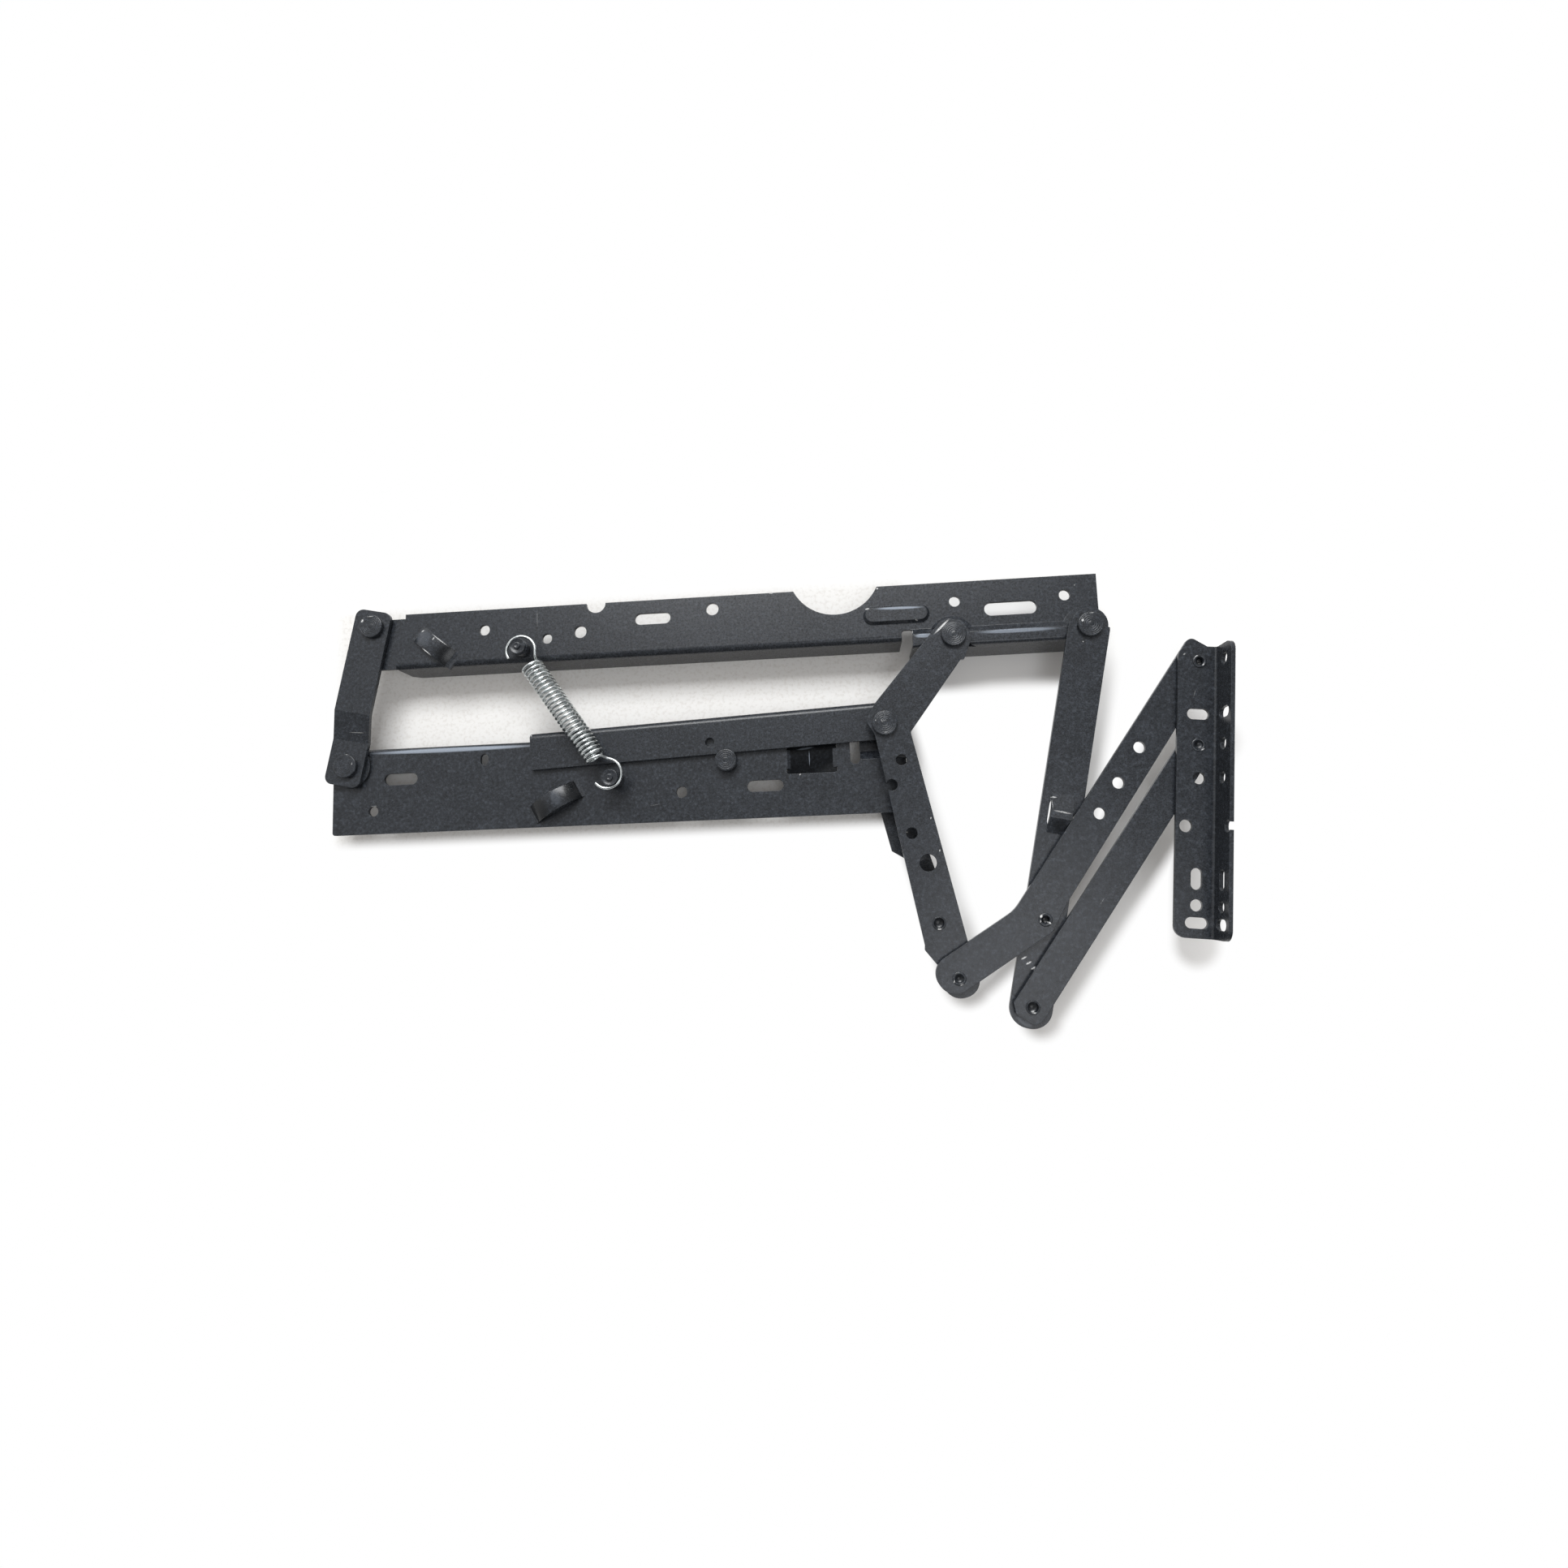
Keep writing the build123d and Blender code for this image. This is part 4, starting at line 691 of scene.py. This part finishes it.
class RECLINER_OT_rivets(bpy.types.Operator):
    """Turns the rivets, studs and the guide pin, and coats the washers"""

    bl_idname = "recliner.rivets"
    bl_label = "Rivets and washers"

    def execute(self, context):
        look = context.scene.recliner_finish
        coat = tuple(look.coat)
        chip_and_glint_colour = tuple(look.chip_and_glint_colour)
        washers = [n for n in NODES if "washer" in n or n in ("main_spacer", "main_bush", "spring_sleeve")]
        dress(powder_coat("washer coat", shade(coat, 0.9), chip_and_glint_colour, 0.5), *washers)
        # The rivets' coat carries chips, painted highlights on the heads' rims and painted glints
        plain = powder_coat("rivet coat", coat, chip_and_glint_colour, 0.6, rough=0.26, grain=1.3, **RIVET_MARKS)
        # The rolled ends' coat carries bare patches, painted glints, and painted shade in the bores
        rolled_end_wear_and_shade = powder_coat("rolled end coat", coat, chip_and_glint_colour, 1.0, rough=0.25, grain=2.0, **ROLLED_END_MARKS)

        for node, shank, back, face in HEADED_RIVETS:
            line = back_head(back) + [(shank, back), (shank, face)] + head(face, *FACE_HEAD)
            turned_piece(node, line, plain)
        # The rear link's seat rivet is in two halves, which meet at 10.5 mm
        line = back_head(7.0) + [(SHANK, 7.0), (SHANK, 10.5), (AXIS, 10.5)]
        turned_piece("rear_seat_rivet_back", line, plain)
        line = [(AXIS, 10.6), (SHANK, 10.6), (SHANK, 13.6)] + head(13.6, *FACE_HEAD)
        turned_piece("rear_seat_rivet_front", line, plain)
        for node, back, face, bore in TUBULAR_RIVETS:
            line = back_head(back) + [(SHANK, back), (SHANK, face)] + rolled_end(face, bore)
            turned_piece(node, line, rolled_end_wear_and_shade)
        for node, back, split, face in SPLIT_RIVETS:
            line = back_head(back) + [(SHANK, back), (SHANK, split), (AXIS, split)]
            turned_piece(node + "_back", line, plain)
            line = [(AXIS, split + 0.1), (SHANK, split + 0.1), (SHANK, face)]
            line += rolled_end(face, 2.6, face - split - 0.9)
            turned_piece(node + "_front", line, rolled_end_wear_and_shade)
        line = back_head(0.0, height=-2.0) + [(SHANK, 0.0), (SHANK, 2.5), (5.0, 2.5), (5.0, 6.2)]
        turned_piece("guide_pin", line + head(6.2, 7.5, 3.0), plain)
        line = back_head(0.0, 5.0, -2.0, ()) + [(3.2, 0.0), (3.2, STUD_SHOULDER)]
        turned_piece("lower_spring_stud", line + STUD_END, plain)
        line = back_head(7.0, 5.0, -2.0, ()) + [(3.2, 7.0), (3.2, 9.5), (5.8, 9.5), (5.8, STUD_SHOULDER)]
        turned_piece("upper_spring_stud", line + STUD_END, plain)
        return {"FINISHED"}


class RECLINER_OT_spring(bpy.types.Operator):
    """Winds the return spring from round wire, hook to hook, between its studs, in place of the CAD spring"""

    bl_idname = "recliner.spring"
    bl_label = "Return spring"

    def execute(self, context):
        sizes = context.scene.recliner_spring
        length = hypot(STUD_HIGH[0] - STUD_LOW[0], STUD_HIGH[1] - STUD_LOW[1])
        ahead = Vector(((STUD_HIGH[0] - STUD_LOW[0]) / length, (STUD_HIGH[1] - STUD_LOW[1]) / length, 0.0))
        right = Vector((ahead.y, -ahead.x, 0.0))

        def place(along, aside, up):
            return Vector((*STUD_LOW, SPRING_LEVEL)) + ahead * along + right * aside + Vector((0, 0, up))

        # Points stand a little outside the arcs, because the curve cuts inside its points
        hook = sizes.hook * 1.0066
        coil = sizes.coil * 1.0115
        lower = []
        for angle in range(265, 49, -10):
            turn = radians(angle)
            lower.append((HOOK_CENTRE + hook * cos(turn), hook * sin(turn), 0.0))
        lower += HOOK_NECK
        upper = [(length - along, aside, -up) for along, aside, up in lower]
        run = length - 2 * sizes.start
        count = (2 * sizes.turns + 1) * POINTS_A_TURN // 2
        points = list(lower)
        for step in range(2, count - 1):
            turn = 2 * pi * step / POINTS_A_TURN
            points.append((sizes.start + run * step / count, -coil * sin(turn), coil * cos(turn)))
        points += upper[::-1]

        deselect()
        bpy.ops.curve.primitive_nurbs_path_add()
        wire = context.object
        wire.name = "spring_wire"
        curve = wire.data
        curve.splines.clear()
        spline = curve.splines.new("NURBS")
        spline.points.add(len(points) - 1)
        for point, values in zip(spline.points, points):
            point.co = (*place(*values), 1.0)
        spline.order_u = 4
        spline.use_endpoint_u = True
        spline.resolution_u = 2
        curve.bevel_depth = sizes.wire
        curve.bevel_resolution = 4
        curve.use_fill_caps = True
        bpy.ops.object.convert(target="MESH")
        wire = context.object
        bpy.ops.object.transform_apply(location=True, rotation=True, scale=True)
        bpy.ops.object.mode_set(mode="EDIT")
        bpy.ops.mesh.select_all(action="SELECT")
        bpy.ops.mesh.remove_doubles(threshold=0.01 * MM)
        bpy.ops.mesh.normals_make_consistent(inside=False)
        bpy.ops.object.mode_set(mode="OBJECT")
        bpy.ops.object.shade_smooth_by_angle(angle=radians(50))
        wire.data.materials.append(zinc_wire(tuple(sizes.zinc)))
        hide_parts("return_spring")
        place(sizes.start, 0, 0)
        place(length - sizes.start, 0, 0)
        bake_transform(wire)
        return {"FINISHED"}


def floor_finish():
    """Speckled paper between the rails, plain near the straps, and the white background further out"""
    paper = Finish("pale floor")
    paper.shader.inputs["Specular IOR Level"].default_value = 0.1
    x, y = paper.axes()

    def beside_box(low, high):
        across = ((x - 0.5 * (low[0] + high[0])).size() - 0.5 * (high[0] - low[0])).larger(0.0)
        up = ((y - 0.5 * (low[1] + high[1])).size() - 0.5 * (high[1] - low[1])).larger(0.0)
        return (across * across + up * up) ** 0.5

    def beside_strap(start, end, radius):
        start, end = [[c + (p - c) * STRAP_SHIFT for p, c in zip(point, CAMERA)] for point in (start, end)]
        ux, uy = end[0] - start[0], end[1] - start[1]
        along = ((x - start[0]) * ux + (y - start[1]) * uy) / (ux * ux + uy * uy)
        along = along.larger(0.0).smaller(1.0)
        across = x - start[0] - along * ux
        up = y - start[1] - along * uy
        return ((across * across + up * up) ** 0.5 - radius).larger(0.0)

    away = beside_box(*RAIL_AREA)
    speckled = paper.mix(paper.step(paper.noise(420.0, 2.0, 0.6), 0.45, 0.72) * 0.34, PAPER, SPECKS)
    paper.set(Base_Color=paper.mix(paper.step(away, *PLAIN_EDGE), speckled, PLAIN_PAPER), Roughness=0.9,
              Metallic=0.0)
    away = away.smaller(beside_box(*STRIP_AREA))
    for area in STRAP_AREAS:
        away = away.smaller(beside_strap(*area))

    rays = paper.node("ShaderNodeLightPath")
    seen = paper.out(rays, "Is Camera Ray").larger(paper.out(rays, "Is Glossy Ray"))
    seen = seen.larger(paper.out(rays, "Is Transmission Ray"))
    white = paper.node("ShaderNodeEmission", None, {"Color": (1.0, 1.0, 1.0, 1.0), "Strength": 1.0})
    blend = paper.node("ShaderNodeMixShader", None, {"Fac": seen * paper.step(away, *WHITE_EDGE)})
    paper.tree.links.new(paper.shader.outputs[0], blend.inputs[1])
    paper.tree.links.new(white.outputs[0], blend.inputs[2])
    paper.tree.links.new(blend.outputs[0], paper.tree.nodes["Material Output"].inputs["Surface"])
    return paper.material


def room_light():
    """Soft fill from all round; the camera and glass see white, and metal sees it on the lamp's side"""
    world = bpy.data.worlds.new("room")
    world.use_nodes = True
    tree = world.node_tree

    def light(node, colour, strength):
        node.inputs[0].default_value = (*colour, 1.0)
        node.inputs[1].default_value = strength
        return node

    def choose(factor, first, second):
        node = tree.nodes.new("ShaderNodeMixShader")
        tree.links.new(factor, node.inputs[0])
        tree.links.new(first.outputs[0], node.inputs[1])
        tree.links.new(second.outputs[0], node.inputs[2])
        return node

    fill = light(tree.nodes["Background"], *FILL_LIGHT)
    backdrop = light(tree.nodes.new("ShaderNodeBackground"), *BACKDROP)
    far_side = light(tree.nodes.new("ShaderNodeBackground"), *FAR_SIDE)
    direction = tree.nodes.new("ShaderNodeTexCoord")
    side = tree.nodes.new("ShaderNodeVectorMath")
    side.operation = "DOT_PRODUCT"
    side.inputs[1].default_value = LAMP_SIDE
    tree.links.new(direction.outputs["Generated"], side.inputs[0])
    reach = tree.nodes.new("ShaderNodeMapRange")
    reach.interpolation_type = "SMOOTHSTEP"
    reach.inputs["From Min"].default_value = LAMP_SIDE_EDGE[0]
    reach.inputs["From Max"].default_value = LAMP_SIDE_EDGE[1]
    tree.links.new(side.outputs["Value"], reach.inputs["Value"])

    rays = tree.nodes.new("ShaderNodeLightPath")
    mirrored = choose(reach.outputs["Result"], far_side, backdrop)
    metal = choose(rays.outputs["Is Glossy Ray"], fill, mirrored)
    seen = ShaderSocket(tree, rays.outputs["Is Camera Ray"])
    seen = seen.larger(ShaderSocket(tree, rays.outputs["Is Transmission Ray"]))
    room = choose(seen.socket, metal, backdrop)
    tree.links.new(room.outputs[0], tree.nodes["World Output"].inputs["Surface"])
    return world


class RECLINER_OT_stage(bpy.types.Operator):
    """Pale floor, soft light and the camera"""

    bl_idname = "recliner.stage"
    bl_label = "Stage"

    def execute(self, context):
        scene = context.scene
        deselect()
        bpy.ops.mesh.primitive_plane_add(size=FLOOR_SIZE, location=(0.3, 0.0, FLOOR_LEVEL - 0.1 * MM))
        floor = context.object
        floor.name = "floor"
        bpy.ops.object.transform_apply(location=True, rotation=True, scale=True)
        floor.data.materials.append(floor_finish())

        camera = bpy.data.cameras.new("camera")
        camera.sensor_width = SENSOR_WIDTH
        camera.lens = SENSOR_WIDTH * FOCAL_PIXELS / FRAME_PIXELS
        camera.clip_start = 0.01
        camera_object = bpy.data.objects.new("camera", camera)
        scene.collection.objects.link(camera_object)
        camera_object.location = CAMERA
        camera_object.rotation_euler = [radians(turn) for turn in CAMERA_TURN]
        scene.camera = camera_object

        def lamp(name, place, target, size, power, colour):
            data = bpy.data.lights.new(name, "AREA")
            data.shape = "RECTANGLE"
            data.size = size[0]
            data.size_y = size[1]
            data.energy = power
            data.color = colour
            item = bpy.data.objects.new(name, data)
            scene.collection.objects.link(item)
            item.location = place
            item.rotation_euler = (Vector(target) - Vector(place)).to_track_quat("-Z", "Y").to_euler()

        for settings in LAMPS:
            lamp(*settings)
        scene.world = room_light()
        scene.view_settings.view_transform = "Standard"
        return {"FINISHED"}


class RECLINER_PT_panel(bpy.types.Panel):
    """Lists the sizes and the steps in order"""

    bl_idname = "RECLINER_PT_panel"
    bl_label = "Recliner mechanism"
    bl_space_type = "VIEW_3D"
    bl_region_type = "UI"
    bl_category = "Recliner"

    def draw(self, context):
        for group in (context.scene.recliner_finish, context.scene.recliner_spring):
            for key in group.bl_rna.properties.keys():
                if key not in {"rna_type", "name"}:
                    self.layout.prop(group, key)
        for step in STEPS:
            self.layout.operator(step.bl_idname)


STEPS = (
    RECLINER_OT_rails,
    RECLINER_OT_links,
    RECLINER_OT_rivets,
    RECLINER_OT_spring,
    RECLINER_OT_stage,
)
CLASSES = (ReclinerFinish, ReclinerSpring, *STEPS, RECLINER_PT_panel)


def register():
    for item in CLASSES:
        bpy.utils.register_class(item)
    bpy.types.Scene.recliner_finish = PointerProperty(type=ReclinerFinish)
    bpy.types.Scene.recliner_spring = PointerProperty(type=ReclinerSpring)


def unregister():
    del bpy.types.Scene.recliner_finish
    del bpy.types.Scene.recliner_spring
    for item in reversed(CLASSES):
        bpy.utils.unregister_class(item)


def main():
    register()
    for step in ("rails", "links", "rivets", "spring", "stage"):
        getattr(bpy.ops.recliner, step)()


if __name__ == "__main__":
    main()
